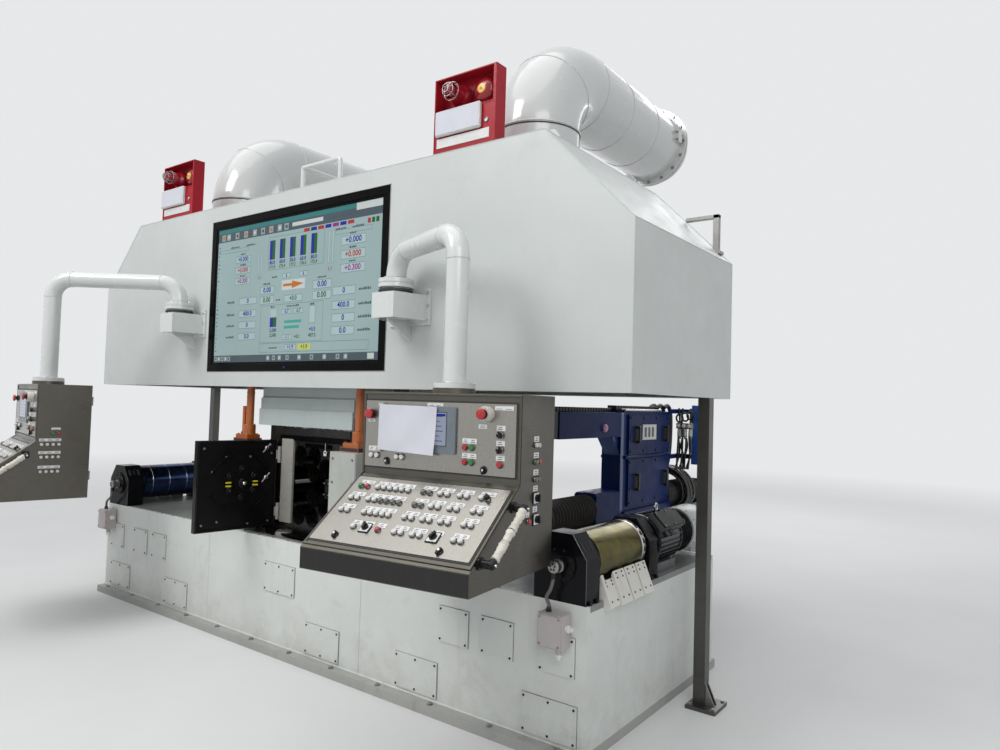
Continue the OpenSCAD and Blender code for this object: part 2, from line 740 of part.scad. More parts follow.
module gauge_frame() color("midnightblue") {
    x = [gauge_x - gauge_w, gauge_x];
    blk(x, [col_y0, col_y1], [carriage_z + 60, gauge_top]);
    blk(x, [gauge_y + 100, col_y0], [gauge_top - gauge_arm_h - 12, gauge_top - 12]);
    blk([x[0] + 10, x[1] - 10], [gauge_y, gauge_y + 100], [gauge_top - gauge_arm_h - 6, gauge_top - 4]);
    blk(x, [col_y0 - gauge_low, col_y0], [pass_z - 180, pass_z - 15]);
    blk([x[0] - 20, x[1] + 20], [col_y0, col_y1], [carriage_z + seat, carriage_z + 60]);
    // bolted cover plates on both flanks
    for (f = [x[0] - 14, x[1]]) {
        blk([f, f + 14], [col_y0 + 60, col_y1 - 40], [gauge_top - 305, gauge_top - 25]);
        blk([f, f + 14], [col_y0 + 60, col_y1 - 40], [carriage_z + 90, gauge_top - 335]);
    }
}

// One folded sleeve along Y.
module bellows(y0, y1) {
    n = floor((y1 - y0) / 36);
    p = (y1 - y0) / n;
    r = bellows_d / 2;
    at(gauge_x - gauge_w / 2, y0, carriage_z + r + 2) rotate([-90, 0, 0]) rotate_extrude() polygon([
        [0, 0], for (i = [0:n - 1]) each [[r - 22, i * p], [r, (i + 0.5) * p]], [r - 22, n * p], [0, n * p]]);
}

module gauge_bellows_front() color("black") bellows(stand_y0 + 20, col_y0 - gauge_low);

module gauge_bellows_rear() color("black") bellows(col_y1, stand_y1 - 20);

module junction_boxes() color("thistle") for (x = [-deflector_x - 70, deflector_x + 5]) {
    blk([x - 65, x + 65], [-cover_t - 75, -cover_t], [510, 660]);
    at(x + 30, -cover_t - 40, 480) cylinder(d = 30, h = 40);
}

bed_base_plate();
bed_side_plates();
bed_end_plates();
bed_deck();
access_covers();
mill_housing();
backing_rolls();
second_rolls();
inner_rolls();
work_rolls();
housing_rear_cover();
drive_couplings();
door_post();
roll_door();
upper_guard();
lift_cylinders();
hood_columns();
hood_front();
hood_rear();
hood_ends();
hood_roof();
hood_posts();
display();
display_glass();
alarm_boxes();
duct_left();
duct_right();
duct_collars();
arm_brackets();
arm_left();
arm_right();
desk_left();
desk_right();
desk_handle_left();
desk_handle_right();
bearing_blocks();
entry_roll();
exit_roll();
roll_motors();
strip_guides();
gauge_stand();
gauge_frame();
gauge_bellows_front();
gauge_bellows_rear();
junction_boxes();
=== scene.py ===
"""Looks of the rolling mill stand: materials, small parts, camera and light.

Metres. X runs along the strip, Y from the working side to the drive side, Z up from the floor.
"""
import math
import random
from itertools import product

import bmesh
import bpy
from mathutils import Matrix, Vector


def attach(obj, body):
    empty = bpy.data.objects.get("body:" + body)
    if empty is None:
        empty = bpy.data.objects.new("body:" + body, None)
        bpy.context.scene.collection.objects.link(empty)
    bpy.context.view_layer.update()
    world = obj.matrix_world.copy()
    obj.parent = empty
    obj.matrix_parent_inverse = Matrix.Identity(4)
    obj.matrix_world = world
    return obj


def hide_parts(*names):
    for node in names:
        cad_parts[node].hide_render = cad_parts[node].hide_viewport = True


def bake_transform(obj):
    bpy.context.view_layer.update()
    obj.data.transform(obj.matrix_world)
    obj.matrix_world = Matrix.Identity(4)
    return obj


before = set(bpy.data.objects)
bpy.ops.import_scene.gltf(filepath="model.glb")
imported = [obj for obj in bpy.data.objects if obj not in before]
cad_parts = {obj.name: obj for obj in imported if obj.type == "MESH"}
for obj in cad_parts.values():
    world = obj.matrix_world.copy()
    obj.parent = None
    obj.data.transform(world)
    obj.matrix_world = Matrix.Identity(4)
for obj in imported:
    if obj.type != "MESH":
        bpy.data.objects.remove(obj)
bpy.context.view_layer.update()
rng = random.Random(7)
ROOT = "stand"
SIDES = (-1, 1)
WORDS = {1: "right", -1: "left"}

FRONT = -0.78                      # the bed's front plate
DECK = 0.70                        # top of the bed
ARM_X, ARM_OUT = 1.075, 0.12       # upper swivels: from the middle, and ahead of the front plate
ROLL_X, ROLL_Z = 2.07, 0.87        # axes of the deflector rolls
HINGE_X, HINGE_Y = -0.275, -0.596  # hinge of the roll door
HOOD_TOP = 2.93
GAUGE_X0, GAUGE_X1 = 1.385, 1.55   # flanks of the thickness gauge
SLEEVE_X, SLEEVE_Z = 1.4675, 0.922  # axis of the gauge's folded sleeves
COLUMN_Y0, COLUMN_Y1 = FRONT + 1.64, FRONT + 2.42  # the gauge's column

UP, DOWN, OUT, BACK, RIGHT = (0, 0, 1), (0, 0, -1), (0, -1, 0), (0, 1, 0), (1, 0, 0)

# Camera at eye height, to the right of the stand, as fitted to the photograph
EYE = Vector((3.82, -3.64, 1.6))
YAW, PITCH, ROLL = (math.radians(a) for a in (-36.6, 2.22, 1.68))
SENSOR, LENS = 36.0, 25.95


def aimed_camera():
    data = bpy.data.cameras.new("camera")
    data.sensor_width, data.lens, data.clip_end = SENSOR, LENS, 200
    cam = bpy.data.objects.new("camera", data)
    bpy.context.collection.objects.link(cam)
    bpy.context.scene.camera = cam
    flat = Vector((math.sin(YAW), math.cos(YAW), 0))
    across, up = Vector((math.cos(YAW), -math.sin(YAW), 0)), Vector(UP)
    look = flat * math.cos(PITCH) + up * math.sin(PITCH)
    head = up * math.cos(PITCH) - flat * math.sin(PITCH)
    right = across * math.cos(ROLL) + head * math.sin(ROLL)
    top = head * math.cos(ROLL) - across * math.sin(ROLL)
    m = Matrix((right, top, -look)).transposed().to_4x4()
    m.translation = EYE
    cam.matrix_world = m


aimed_camera()


# Materials
class Nodes:
    """A small helper that adds and links shader nodes."""

    def __init__(self, name):
        self.mat = bpy.data.materials.new(name)
        self.mat.use_nodes = True
        self.tree = self.mat.node_tree
        self.tree.nodes.clear()
        out = self.tree.nodes.new("ShaderNodeOutputMaterial")
        self.shader = self.tree.nodes.new("ShaderNodeBsdfPrincipled")
        self.link(self.shader.outputs[0], out.inputs[0])
        self.pos = self.tree.nodes.new("ShaderNodeTexCoord").outputs["Object"]

    def link(self, a, b):
        self.tree.links.new(a, b)

    def node(self, kind, feeds, **settings):
        """Adds a node with its settings, and feeds its inputs with values or links."""
        n = self.tree.nodes.new("ShaderNode" + kind)
        for key, v in settings.items():
            setattr(n, key, v)
        for key, v in feeds.items():
            sock = n.inputs[key]
            if isinstance(v, (int, float)):
                sock.default_value = v
            elif isinstance(v, tuple):
                sock.default_value = v if len(v) == len(sock.default_value) else (*v, 1)
            else:
                self.link(v, sock)
        return n

    def set(self, **values):
        for k, v in values.items():
            self.shader.inputs[k.replace("_", " ")].default_value = v

    def mapped(self, scale):
        return self.node("Mapping", {"Scale": scale, "Vector": self.pos}).outputs[0]

    def noise(self, scale, detail=4.0, vec=None, rough=0.55, warp=0.0):
        feeds = {"Scale": scale, "Detail": detail, "Roughness": rough, "Distortion": warp}
        return self.node("TexNoise", {**feeds, "Vector": vec or self.pos}).outputs["Fac"]

    def ramp(self, fac, stops):
        n = self.node("ValToRGB", {0: fac})
        for el, (place, colour) in zip(n.color_ramp.elements, stops):
            el.position = place
            el.color = (*colour, 1)
        return n.outputs[0]

    def tones(self, fac, c, vary):
        """A colour made darker and lighter by a share."""
        return self.ramp(fac, [(0.3, shade(c, 1 - vary)), (0.7, shade(c, 1 + vary))])

    def grey(self, fac, p0, v0, p1, v1):
        return self.ramp(fac, [(p0, (v0,) * 3), (p1, (v1,) * 3)])

    def mix(self, fac, a, b, kind="MIX"):
        return self.node("Mix", {0: fac, 6: a, 7: b}, data_type="RGBA", blend_type=kind).outputs[2]

    def math(self, kind, a, b=0.0):
        return self.node("Math", {0: a, 1: b}, operation=kind).outputs[0]

    def distance(self, a, b, from_a=0.0, from_b=0.0):
        offsets = [self.math("SUBTRACT", a, from_a), self.math("SUBTRACT", b, from_b)]
        squares = [self.math("POWER", v, 2.0) for v in offsets]
        return self.math("SQRT", self.math("ADD", *squares))

    def xyz(self):
        return self.node("SeparateXYZ", {0: self.pos}).outputs

    def bump(self, height, strength, distance):
        n = self.node("Bump", {"Strength": strength, "Distance": distance, "Height": height})
        self.link(n.outputs[0], self.shader.inputs["Normal"])

    def colour(self, out):
        self.link(out, self.shader.inputs["Base Color"])

    def rough(self, out):
        self.link(out, self.shader.inputs["Roughness"])


def shade(c, k):
    return tuple(min(1.0, v * k) for v in c)


def paint(name, c, rough=0.42, vary=0.06, dirt=(0.16, 0.14, 0.11), amount=0.35, coat=0.0, bump=0.12,
          low=None, spec=0.5):
    """Painted plate: soft clouding, grime in patches, runs down the face, orange peel."""
    n = Nodes(name)
    grime = n.grey(n.noise(5.5, 9, rough=0.68, warp=0.4), 0.56, 0.0, 0.82, amount)
    runs = n.grey(n.noise(9, 6, n.mapped((1, 1, 0.08)), rough=0.6), 0.57, 0.0, 0.85, amount * 0.8)
    specks = n.grey(n.noise(60, 3), 0.70, 0.0, 0.76, amount)
    col = n.mix(grime, n.tones(n.noise(1.3, 5), c, vary), dirt)
    col = n.mix(runs, col, shade(dirt, 1.3))
    col = n.mix(specks, col, dirt)
    if low:                        # more grime towards the floor
        fade = n.grey(n.xyz()[2], 0.0, 1.0, low, 0.0)
        patch = n.grey(n.noise(7, 8, rough=0.7), 0.38, 0.0, 0.7, 0.42)
        col = n.mix(n.mix(1.0, fade, patch, "MULTIPLY"), col, shade(dirt, 1.5))
    n.colour(col)
    n.rough(n.grey(n.noise(11, 6), 0.3, rough - 0.07, 0.75, rough + 0.14))
    n.bump(n.noise(190, 4), bump, 0.0006)
    n.set(Coat_Weight=coat, Coat_Roughness=0.12, Specular_IOR_Level=spec)
    return n.mat


def metal(name, c, rough=0.3, vary=0.15, grain=(1, 1, 60), amount=0.2, dirt=(0.1, 0.09, 0.07), bump=0.06):
    """Bare metal with a drawn grain along one axis, handling marks and stains."""
    n = Nodes(name)
    fine = n.noise(14, 6, n.mapped(grain), rough=0.7)
    stain = n.grey(n.noise(6, 8, rough=0.65, warp=0.8), 0.52, 0.0, 0.8, amount)
    n.colour(n.mix(stain, n.tones(fine, c, vary), dirt))
    smear = n.noise(4.5, 7, rough=0.6, warp=0.5)
    n.rough(n.mix(0.5, n.grey(fine, 0.3, rough - 0.06, 0.7, rough + 0.1),
                  n.grey(smear, 0.35, rough - 0.1, 0.7, rough + 0.2)))
    n.bump(fine, bump, 0.0004)
    n.set(Metallic=1.0)
    return n.mat


def plain(name, c, rough=0.4, metallic=0.0, vary=0.12, coat=0.0, scale=35, bump=0.05, spec=0.5):
    """Small moulded or turned part: faint mottling and handling marks."""
    n = Nodes(name)
    n.colour(n.tones(n.noise(scale, 5), c, vary))
    n.rough(n.grey(n.noise(scale * 1.7, 4), 0.3, rough - 0.05, 0.7, rough + 0.1))
    n.bump(n.noise(scale * 8, 3), bump, 0.0003)
    n.set(Metallic=metallic, Coat_Weight=coat, Coat_Roughness=0.1, Specular_IOR_Level=spec)
    return n.mat


def lit(name, c, strength=0.39, rough=0.12):
    """A patch of the lit screen, with the faint cell pattern of a panel."""
    n = Nodes(name)
    cloud = n.grey(n.noise(1.6, 3), 0.3, 0.93, 0.7, 1.05)
    col = n.mix(1.0, n.tones(n.noise(260, 2), c, 0.04), cloud, "MULTIPLY")
    n.colour(n.mix(1.0, col, (0.25, 0.25, 0.25), "MULTIPLY"))
    n.link(col, n.shader.inputs["Emission Color"])
    n.rough(n.grey(n.noise(30, 3), 0.3, rough - 0.02, 0.7, rough + 0.06))
    n.set(Emission_Strength=strength, Specular_IOR_Level=0.2)
    return n.mat


DUST, SOOT = (0.22, 0.195, 0.155), (0.01, 0.009, 0.008)
M = {
    "hood": paint("hood_paint", (0.555, 0.58, 0.565), 0.40, 0.05, (0.30, 0.29, 0.26), 0.14),
    # bed and covers wear the same grey-white paint as the hood, made lighter here as painted light to make up
    # for the weaker light low on the stand
    "bed": paint("bed_paint", (0.66, 0.68, 0.65), 0.42, 0.07, DUST, 0.30, low=0.5),
    "cover": paint("cover_paint", (0.64, 0.66, 0.63), 0.42, 0.06, DUST, 0.34, low=0.4),
    "deck": paint("deck_paint", (0.20, 0.205, 0.20), 0.35, 0.25, (0.03, 0.027, 0.022), 0.8),
    "foot": paint("foot_paint", (0.36, 0.36, 0.34), 0.55, 0.12, (0.12, 0.10, 0.075), 0.8),
    "arm": paint("arm_paint", (0.64, 0.66, 0.64), 0.20, 0.02, (0.40, 0.39, 0.36), 0.08, 0.6, 0.02),
    "duct": paint("duct_paint", (0.57, 0.58, 0.57), 0.16, 0.03, (0.25, 0.24, 0.22), 0.10, 0.8, 0.05),
    "pillar": paint("pillar_paint", (0.45, 0.465, 0.43), 0.34, 0.14, (0.13, 0.115, 0.09), 0.65),
    "guard": paint("guard_paint", (0.47, 0.53, 0.515), 0.34, 0.04, (0.15, 0.15, 0.14), 0.2),
    # oily black steel of the cavity and the roll cluster, made darker still as painted shade of the enclosed
    # mill cavity
    "cavity": metal("oily_black_steel_shaded", (0.0080, 0.0077, 0.0074), 0.26, 0.35, (1, 60, 1), 0.5, SOOT, 0.2),
    "roll": metal("oily_roll_steel_shaded", (0.026, 0.025, 0.0235), 0.2, 0.3, amount=0.5, dirt=(0.012, 0.011, 0.01),
                  bump=0.1),
    "door": paint("door_black", (0.0030, 0.0030, 0.0034), 0.34, 0.3, (0.011, 0.010, 0.009), 0.3, bump=0.3,
                  spec=0.16),
    "doorring": plain("door_rings", (0.010, 0.0095, 0.009), 0.3, 0.6, 0.4),
    "beige": paint("jamb_beige", (0.34, 0.325, 0.29), 0.5, 0.12, (0.10, 0.09, 0.07), 0.5),
    "orange": paint("cylinder_orange", (0.42, 0.105, 0.016), 0.32, 0.08, (0.16, 0.05, 0.02), coat=0.3),
    "black": paint("block_black", (0.0042, 0.0043, 0.0056), 0.20, 0.25, (0.012, 0.012, 0.013), 0.16,
                   bump=0.08, spec=0.11),
    "plastic": plain("black_plastic", (0.0085, 0.0085, 0.0095), 0.33, spec=0.30),
    "bezel": plain("bezel_black", (0.0035, 0.0035, 0.0040), 0.14, vary=0.3, scale=12, spec=0.05),
    "steel": metal("bright_steel", (0.60, 0.60, 0.59), 0.24, 0.08, (60, 1, 1), 0.15),
    "dull": metal("dull_steel", (0.30, 0.295, 0.285), 0.38, 0.15, (60, 1, 1), 0.4),
    # brushed stainless in three tones, lit and shaded copies of one metal: a darker copy as painted shade on
    # the desk body and flanks, a lighter copy as painted light on the door and lid panels, and the darkest
    # copy on the skirt under the slope
    "desk": metal("brushed_stainless", (0.122, 0.115, 0.0985), 0.30, 0.14, (1, 1, 70), 0.45,
                  (0.095, 0.075, 0.052), 0.05),
    "desk_lit": metal("brushed_stainless_lit", (0.338, 0.324, 0.295), 0.26, 0.09, (70, 1, 1), 0.32,
                      (0.20, 0.175, 0.14), 0.05),
    "skirt": metal("shaded_stainless", (0.049, 0.0475, 0.0475), 0.36, 0.18, (70, 1, 1), 0.35,
                   (0.04, 0.037, 0.033), 0.05),
    "gasket": plain("gasket_rubber", (0.02, 0.019, 0.018), 0.6),
    "label": plain("label_plate", (0.70, 0.70, 0.69), 0.4, vary=0.08, scale=60),
    "paper": plain("paper_sheet", (0.60, 0.61, 0.66), 0.6, vary=0.03, scale=9, bump=0.2),
    "sign": plain("bare_sign", (0.66, 0.66, 0.65), 0.35, vary=0.06, scale=14),
    "ink": plain("label_marks", (0.10, 0.10, 0.11), 0.5),
    "white": plain("button_white", (0.60, 0.59, 0.57), 0.28, vary=0.06, coat=0.3, scale=60),
    "greyb": plain("button_grey", (0.11, 0.11, 0.11), 0.3, coat=0.3, scale=60),
    "wire": metal("guard_wire", (0.34, 0.30, 0.29), 0.35, 0.1, (1, 1, 20), 0.2),
    "rim": metal("button_rim", (0.16, 0.157, 0.15), 0.22, 0.1, (1, 1, 20), 0.1),
    "red": plain("button_red", (0.38, 0.014, 0.018), 0.26, vary=0.10, coat=0.4, scale=60),
    "green": plain("button_green", (0.018, 0.16, 0.025), 0.28, coat=0.4, scale=60),
    "bossp": plain("pale_boss", (0.55, 0.52, 0.47), 0.35, vary=0.05, coat=0.2),
    "chrome": metal("chrome_steel", (0.72, 0.72, 0.72), 0.10, 0.04, (1, 1, 20), 0.06),
    "alarm": paint("alarm_red", (0.34, 0.010, 0.020), 0.34, 0.10, (0.12, 0.01, 0.01), 0.2, spec=0.22),
    "lampred": plain("lamp_red", (0.27, 0.008, 0.018), 0.16, coat=0.25),
    "amber": plain("amber_disc", (0.80, 0.50, 0.10), 0.3),
    "yellow": plain("yellow_marks", (0.66, 0.55, 0.02), 0.45),
    "cable": plain("cable_black", (0.014, 0.014, 0.014), 0.42, scale=90),
    "hose": plain("black_hose", (0.0075, 0.0075, 0.008), 0.24, scale=90, spec=0.6),
    "conduit": plain("grey_conduit", (0.12, 0.115, 0.11), 0.40, scale=60),
    "pinkgrey": paint("box_pinkgrey", (0.46, 0.42, 0.41), 0.40, 0.06, (0.15, 0.13, 0.11), 0.3),
    "cream": paint("guide_cream", (0.68, 0.66, 0.605), 0.42, 0.08, (0.16, 0.14, 0.10), 0.5),
    "blue": paint("gauge_blue", (0.0055, 0.0190, 0.100), 0.32, 0.16, (0.006, 0.009, 0.022), spec=0.09),
    # a lighter copy of the gauge's blue paint, as painted light on the mast, the brace and the flank strip
    "bluelit": paint("gauge_blue_lit", (0.014, 0.060, 0.24), 0.28, 0.08, (0.02, 0.03, 0.06), 0.2, 0.2),
    "motor": paint("motor_grey", (0.075, 0.08, 0.085), 0.38, 0.12, (0.02, 0.02, 0.02), 0.5, spec=0.35),
    # the cowl is a lighter grey than the motor body, and is raised further as painted light against the shade
    # it stands in
    "cowl": paint("motor_cowl", (0.48, 0.49, 0.49), 0.34, 0.10, (0.06, 0.058, 0.052), 0.45),
    "post": metal("post_steel", (0.116, 0.1135, 0.1075), 0.36, 0.18, amount=0.4),
    "weld": plain("weld_bead", (0.56, 0.57, 0.56), 0.26, coat=0.4, scale=120, bump=0.5),
    "seal": plain("dark_seal", (0.022, 0.022, 0.022), 0.5),
    "hole": plain("slot_shadow", (0.0025, 0.0025, 0.0025), 0.7),
    "foil": plain("pale_eye", (0.62, 0.32, 0.45), 0.3),
    "tapeclear": plain("clear_tape", (0.42, 0.41, 0.38), 0.25, vary=0.1, coat=0.4),
    "greyhmi": plain("panel_bluegrey", (0.14, 0.17, 0.19), 0.35, vary=0.06),
}
SCREEN_TONES = {
    "s_back": (0.46, 0.62, 0.62), "s_title": (0.05, 0.28, 0.28), "s_bar": (0.10, 0.14, 0.17),
    "s_box": (0.56, 0.74, 0.75), "s_line": (0.24, 0.36, 0.38), "s_blue": (0.015, 0.03, 0.42),
    "s_green": (0.02, 0.17, 0.02), "s_red": (0.55, 0.05, 0.05), "s_mag": (0.42, 0.03, 0.36),
    "s_orange": (0.72, 0.22, 0.02), "s_yellow": (0.75, 0.78, 0.18), "s_white": (0.80, 0.86, 0.86),
    "s_cyan": (0.08, 0.50, 0.42), "s_text": (0.09, 0.14, 0.15), "s_icon": (0.42, 0.50, 0.50),
    "s_pale": (0.40, 0.46, 0.60),
}
M.update({key: lit(key, c) for key, c in SCREEN_TONES.items()})


def brass_barrel():
    """Mottled brass with a ground grain round the roll."""
    n = Nodes("brass_barrel")
    grain = n.noise(16, 6, n.mapped((40, 1, 40)), rough=0.7)
    base = n.ramp(grain, [(0.3, (0.085, 0.071, 0.0125)), (0.7, (0.142, 0.119, 0.021))])
    blot = n.grey(n.noise(5, 9, n.mapped((1, 2.2, 1)), rough=0.72, warp=1.2), 0.44, 0.0, 0.72, 0.85)
    rings = n.grey(n.noise(20, 3, n.mapped((0.2, 3.0, 0.2))), 0.5, 0.0, 0.8, 0.45)
    n.colour(n.mix(rings, n.mix(blot, base, (0.026, 0.0265, 0.0105)), (0.057, 0.054, 0.0215)))
    n.rough(n.grey(n.noise(7, 6), 0.3, 0.13, 0.7, 0.30))
    n.bump(grain, 0.10, 0.0005)
    n.set(Metallic=1.0)
    return n.mat


def dark_drum():
    """Dark polished roll with a blue cast."""
    n = Nodes("dark_drum")
    grain = n.noise(16, 6, n.mapped((40, 1, 40)), rough=0.7)
    n.colour(n.ramp(n.noise(3.2, 4), [(0.35, (0.016, 0.018, 0.024)), (0.7, (0.04, 0.07, 0.19))]))
    n.rough(n.grey(grain, 0.3, 0.10, 0.7, 0.2))
    n.bump(grain, 0.05, 0.0003)
    n.set(Metallic=1.0)
    return n.mat


def bellows_rubber():
    """Folded black rubber, with a painted highlight on the crests."""
    n = Nodes("bellows_rubber")
    x, _, z = n.xyz()
    valley, crest = 0.079, 0.100
    # painted highlight: the colour lightens from the valley radius to the crest radius, made patchy by noise,
    # over the black rubber
    fold = n.math("SUBTRACT", n.distance(x, z, SLEEVE_X, SLEEVE_Z), valley)
    fold = n.math("MAXIMUM", n.math("DIVIDE", fold, crest - valley), 0.0)
    highlight_patches = n.grey(n.noise(24, 6, rough=0.7), 0.35, 0.45, 0.7, 1.0)
    crest_highlight = n.math("MULTIPLY", n.math("POWER", fold, 2.0), highlight_patches)
    n.colour(n.mix(crest_highlight, (0.008, 0.0075, 0.007), (0.115, 0.105, 0.095)))
    n.rough(n.grey(n.noise(18, 5), 0.3, 0.38, 0.7, 0.55))
    n.bump(n.noise(70, 5), 0.2, 0.0008)
    return n.mat


def tape_wrap():
    """Tape wound over the grab bars, yellowed by hands."""
    n = Nodes("tape_wrap")
    folds = n.noise(26, 6, n.mapped((1, 1, 2.5)), rough=0.6, warp=1.0)
    clean = n.ramp(folds, [(0.3, (0.50, 0.47, 0.40)), (0.7, (0.72, 0.70, 0.63))])
    n.colour(n.mix(n.grey(n.noise(9, 6), 0.5, 0.0, 0.8, 0.5), clean, (0.42, 0.33, 0.20)))
    n.rough(n.grey(folds, 0.3, 0.40, 0.7, 0.62))
    n.bump(folds, 0.55, 0.003)
    n.set(Subsurface_Weight=0.06)
    return n.mat


def housing_paint():
    """Cast housing: worn cream paint, and a near-black mouth between the pillars and under the guard, oily
    and darkened further as painted shade.
    """
    n = Nodes("housing_paint")
    x, y, z = n.xyz()
    mouth_half, mouth_top, mouth_rear = 0.418, 1.40, -0.30
    cloud = n.ramp(n.noise(1.6, 6), [(0.3, (0.38, 0.39, 0.36)), (0.7, (0.50, 0.51, 0.48))])
    grime = n.grey(n.noise(5.5, 9, rough=0.7, warp=0.6), 0.50, 0.0, 0.80, 0.75)
    drips = n.grey(n.noise(12, 6, n.mapped((1, 1, 0.10)), rough=0.6), 0.55, 0.0, 0.85, 0.6)
    col = n.mix(drips, n.mix(grime, cloud, (0.11, 0.10, 0.08)), (0.16, 0.14, 0.10))
    edge = n.math("MULTIPLY", n.math("SUBTRACT", n.noise(18, 5), 0.5), 0.05)
    # mouth: between the pillars, below the guard and at the front; here the paint turns near black, as oil
    # and as painted shade of the recess
    between = n.math("LESS_THAN", n.math("ADD", n.math("ABSOLUTE", x), edge), mouth_half)
    below = n.math("LESS_THAN", n.math("ADD", z, edge), mouth_top)
    mouth = n.math("MULTIPLY", n.math("MULTIPLY", between, below), n.math("LESS_THAN", y, mouth_rear))
    oil_and_shade = n.ramp(n.noise(9, 8, rough=0.7, warp=0.8), [(0.35, (0.0032, 0.0031, 0.0029)),
                                                      (0.72, (0.0095, 0.0088, 0.0080))])
    n.colour(n.mix(mouth, col, oil_and_shade))
    n.rough(n.mix(mouth, n.grey(n.noise(11, 6), 0.3, 0.30, 0.75, 0.5),
                  n.grey(n.noise(13, 6), 0.3, 0.18, 0.75, 0.42)))
    n.bump(n.noise(60, 6), 0.25, 0.0012)
    return n.mat


def door_leaf():
    """The leaf is black, and its knuckles wear the jamb's paint."""
    n = Nodes("door_leaf")
    x, y, _ = n.xyz()
    knuckle = n.math("LESS_THAN", n.distance(x, y, HINGE_X, HINGE_Y), 0.022)
    dark, worn = (0.0022, 0.0022, 0.0026), (0.0060, 0.0058, 0.0056)
    leaf = n.ramp(n.noise(2.4, 6, rough=0.65), [(0.3, dark), (0.7, worn)])
    cream = n.ramp(n.noise(14, 6), [(0.3, (0.33, 0.325, 0.30)), (0.7, (0.44, 0.43, 0.40))])
    n.colour(n.mix(knuckle, leaf, cream))
    n.rough(n.grey(n.noise(11, 6), 0.3, 0.26, 0.75, 0.46))
    n.bump(n.noise(190, 4), 0.25, 0.0006)
    n.set(Specular_IOR_Level=0.16)
    return n.mat


M.update(brass=brass_barrel(), drum=dark_drum(), bellow=bellows_rubber(), tape=tape_wrap(),
         housing=housing_paint(), leaf=door_leaf())

NODES_OF = {
    "foot": "bed_base_plate", "bed": "bed_side_plates bed_end_plates", "deck": "bed_deck gauge_stand",
    "cover": "access_covers", "housing": "mill_housing", "cavity": "backing_rolls",
    "roll": "second_rolls inner_rolls work_rolls", "dull": "housing_rear_cover drive_couplings",
    "beige": "door_post", "leaf": "roll_door", "guard": "upper_guard", "orange": "lift_cylinders",
    "motor": "hood_columns roll_motors", "hood": "hood_front hood_rear hood_ends hood_roof",
    "post": "hood_posts", "bezel": "display display_glass", "alarm": "alarm_boxes",
    "duct": "duct_left duct_right duct_collars", "arm": "arm_brackets arm_left arm_right",
    "desk": "desk_left desk_right", "black": "bearing_blocks", "drum": "entry_roll", "brass": "exit_roll",
    "cream": "strip_guides", "blue": "gauge_frame", "pinkgrey": "junction_boxes",
}
for key, nodes in NODES_OF.items():
    for node in nodes.split():
        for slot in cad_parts[node].material_slots:
            slot.material = M[key]


# Making shapes
def shift(x, y, z):
    return Matrix.Translation((x, y, z))


def turned(degrees, axis):
    return Matrix.Rotation(math.radians(degrees), 4, axis)


def axes(x, y, z):
    """Frame whose X, Y and Z point along three directions."""
    return Matrix((x, y, z)).transposed().to_4x4()


def mirrored(s):
    return Matrix.Diagonal((s, 1, 1, 1))


def placed(at, direction):
    """Frame at a point, with +Z along a direction."""
    turn = Vector(direction).normalized().to_track_quat("Z", "Y")
    return Matrix.Translation(at) @ turn.to_matrix().to_4x4()


def normal(m):
    return m.to_3x3() @ Vector(UP)


def on_circle(centre, across, n, r, start=0.0):
    """Points of a bolt circle, in the plane across the Y or the Z axis."""
    x, y, z = centre
    for k in range(n):
        t = math.radians(360 / n * k + start)
        u, w = r * math.cos(t), r * math.sin(t)
        yield (x + u, y, z + w) if across == "y" else (x + u, y + w, z)


def curve_pts(ctrl, steps=6):
    """A smooth line through the control points."""
    ctrl = [Vector(p) for p in ctrl]
    pts = [ctrl[0]]
    for i in range(len(ctrl) - 1):
        p0, p1, p2, p3 = ctrl[max(i - 1, 0)], ctrl[i], ctrl[i + 1], ctrl[min(i + 2, len(ctrl) - 1)]
        for s in range(1, steps + 1):
            t = s / steps
            pts.append(0.5 * ((2 * p1) + (p2 - p0) * t + (2 * p0 - 5 * p1 + 4 * p2 - p3) * t * t
                              + (3 * p1 - p0 - 3 * p2 + p3) * t ** 3))
    return pts


def rounded(w, h, r, k=5):
    """Rounded rectangle about the origin."""
    out = []
    for sx, sy, start in ((1, 1, 0), (-1, 1, 90), (-1, -1, 180), (1, -1, 270)):
        cx, cy = sx * (w / 2 - r), sy * (h / 2 - r)
        for i in range(k + 1):
            t = math.radians(start + 90 * i / k)
            out.append((cx + r * math.cos(t), cy + r * math.sin(t)))
    return out


UPRIGHT = turned(90, "X")          # stands an outline up, its thickness towards the working side
CORNERS = list(product((0, 1), repeat=3))


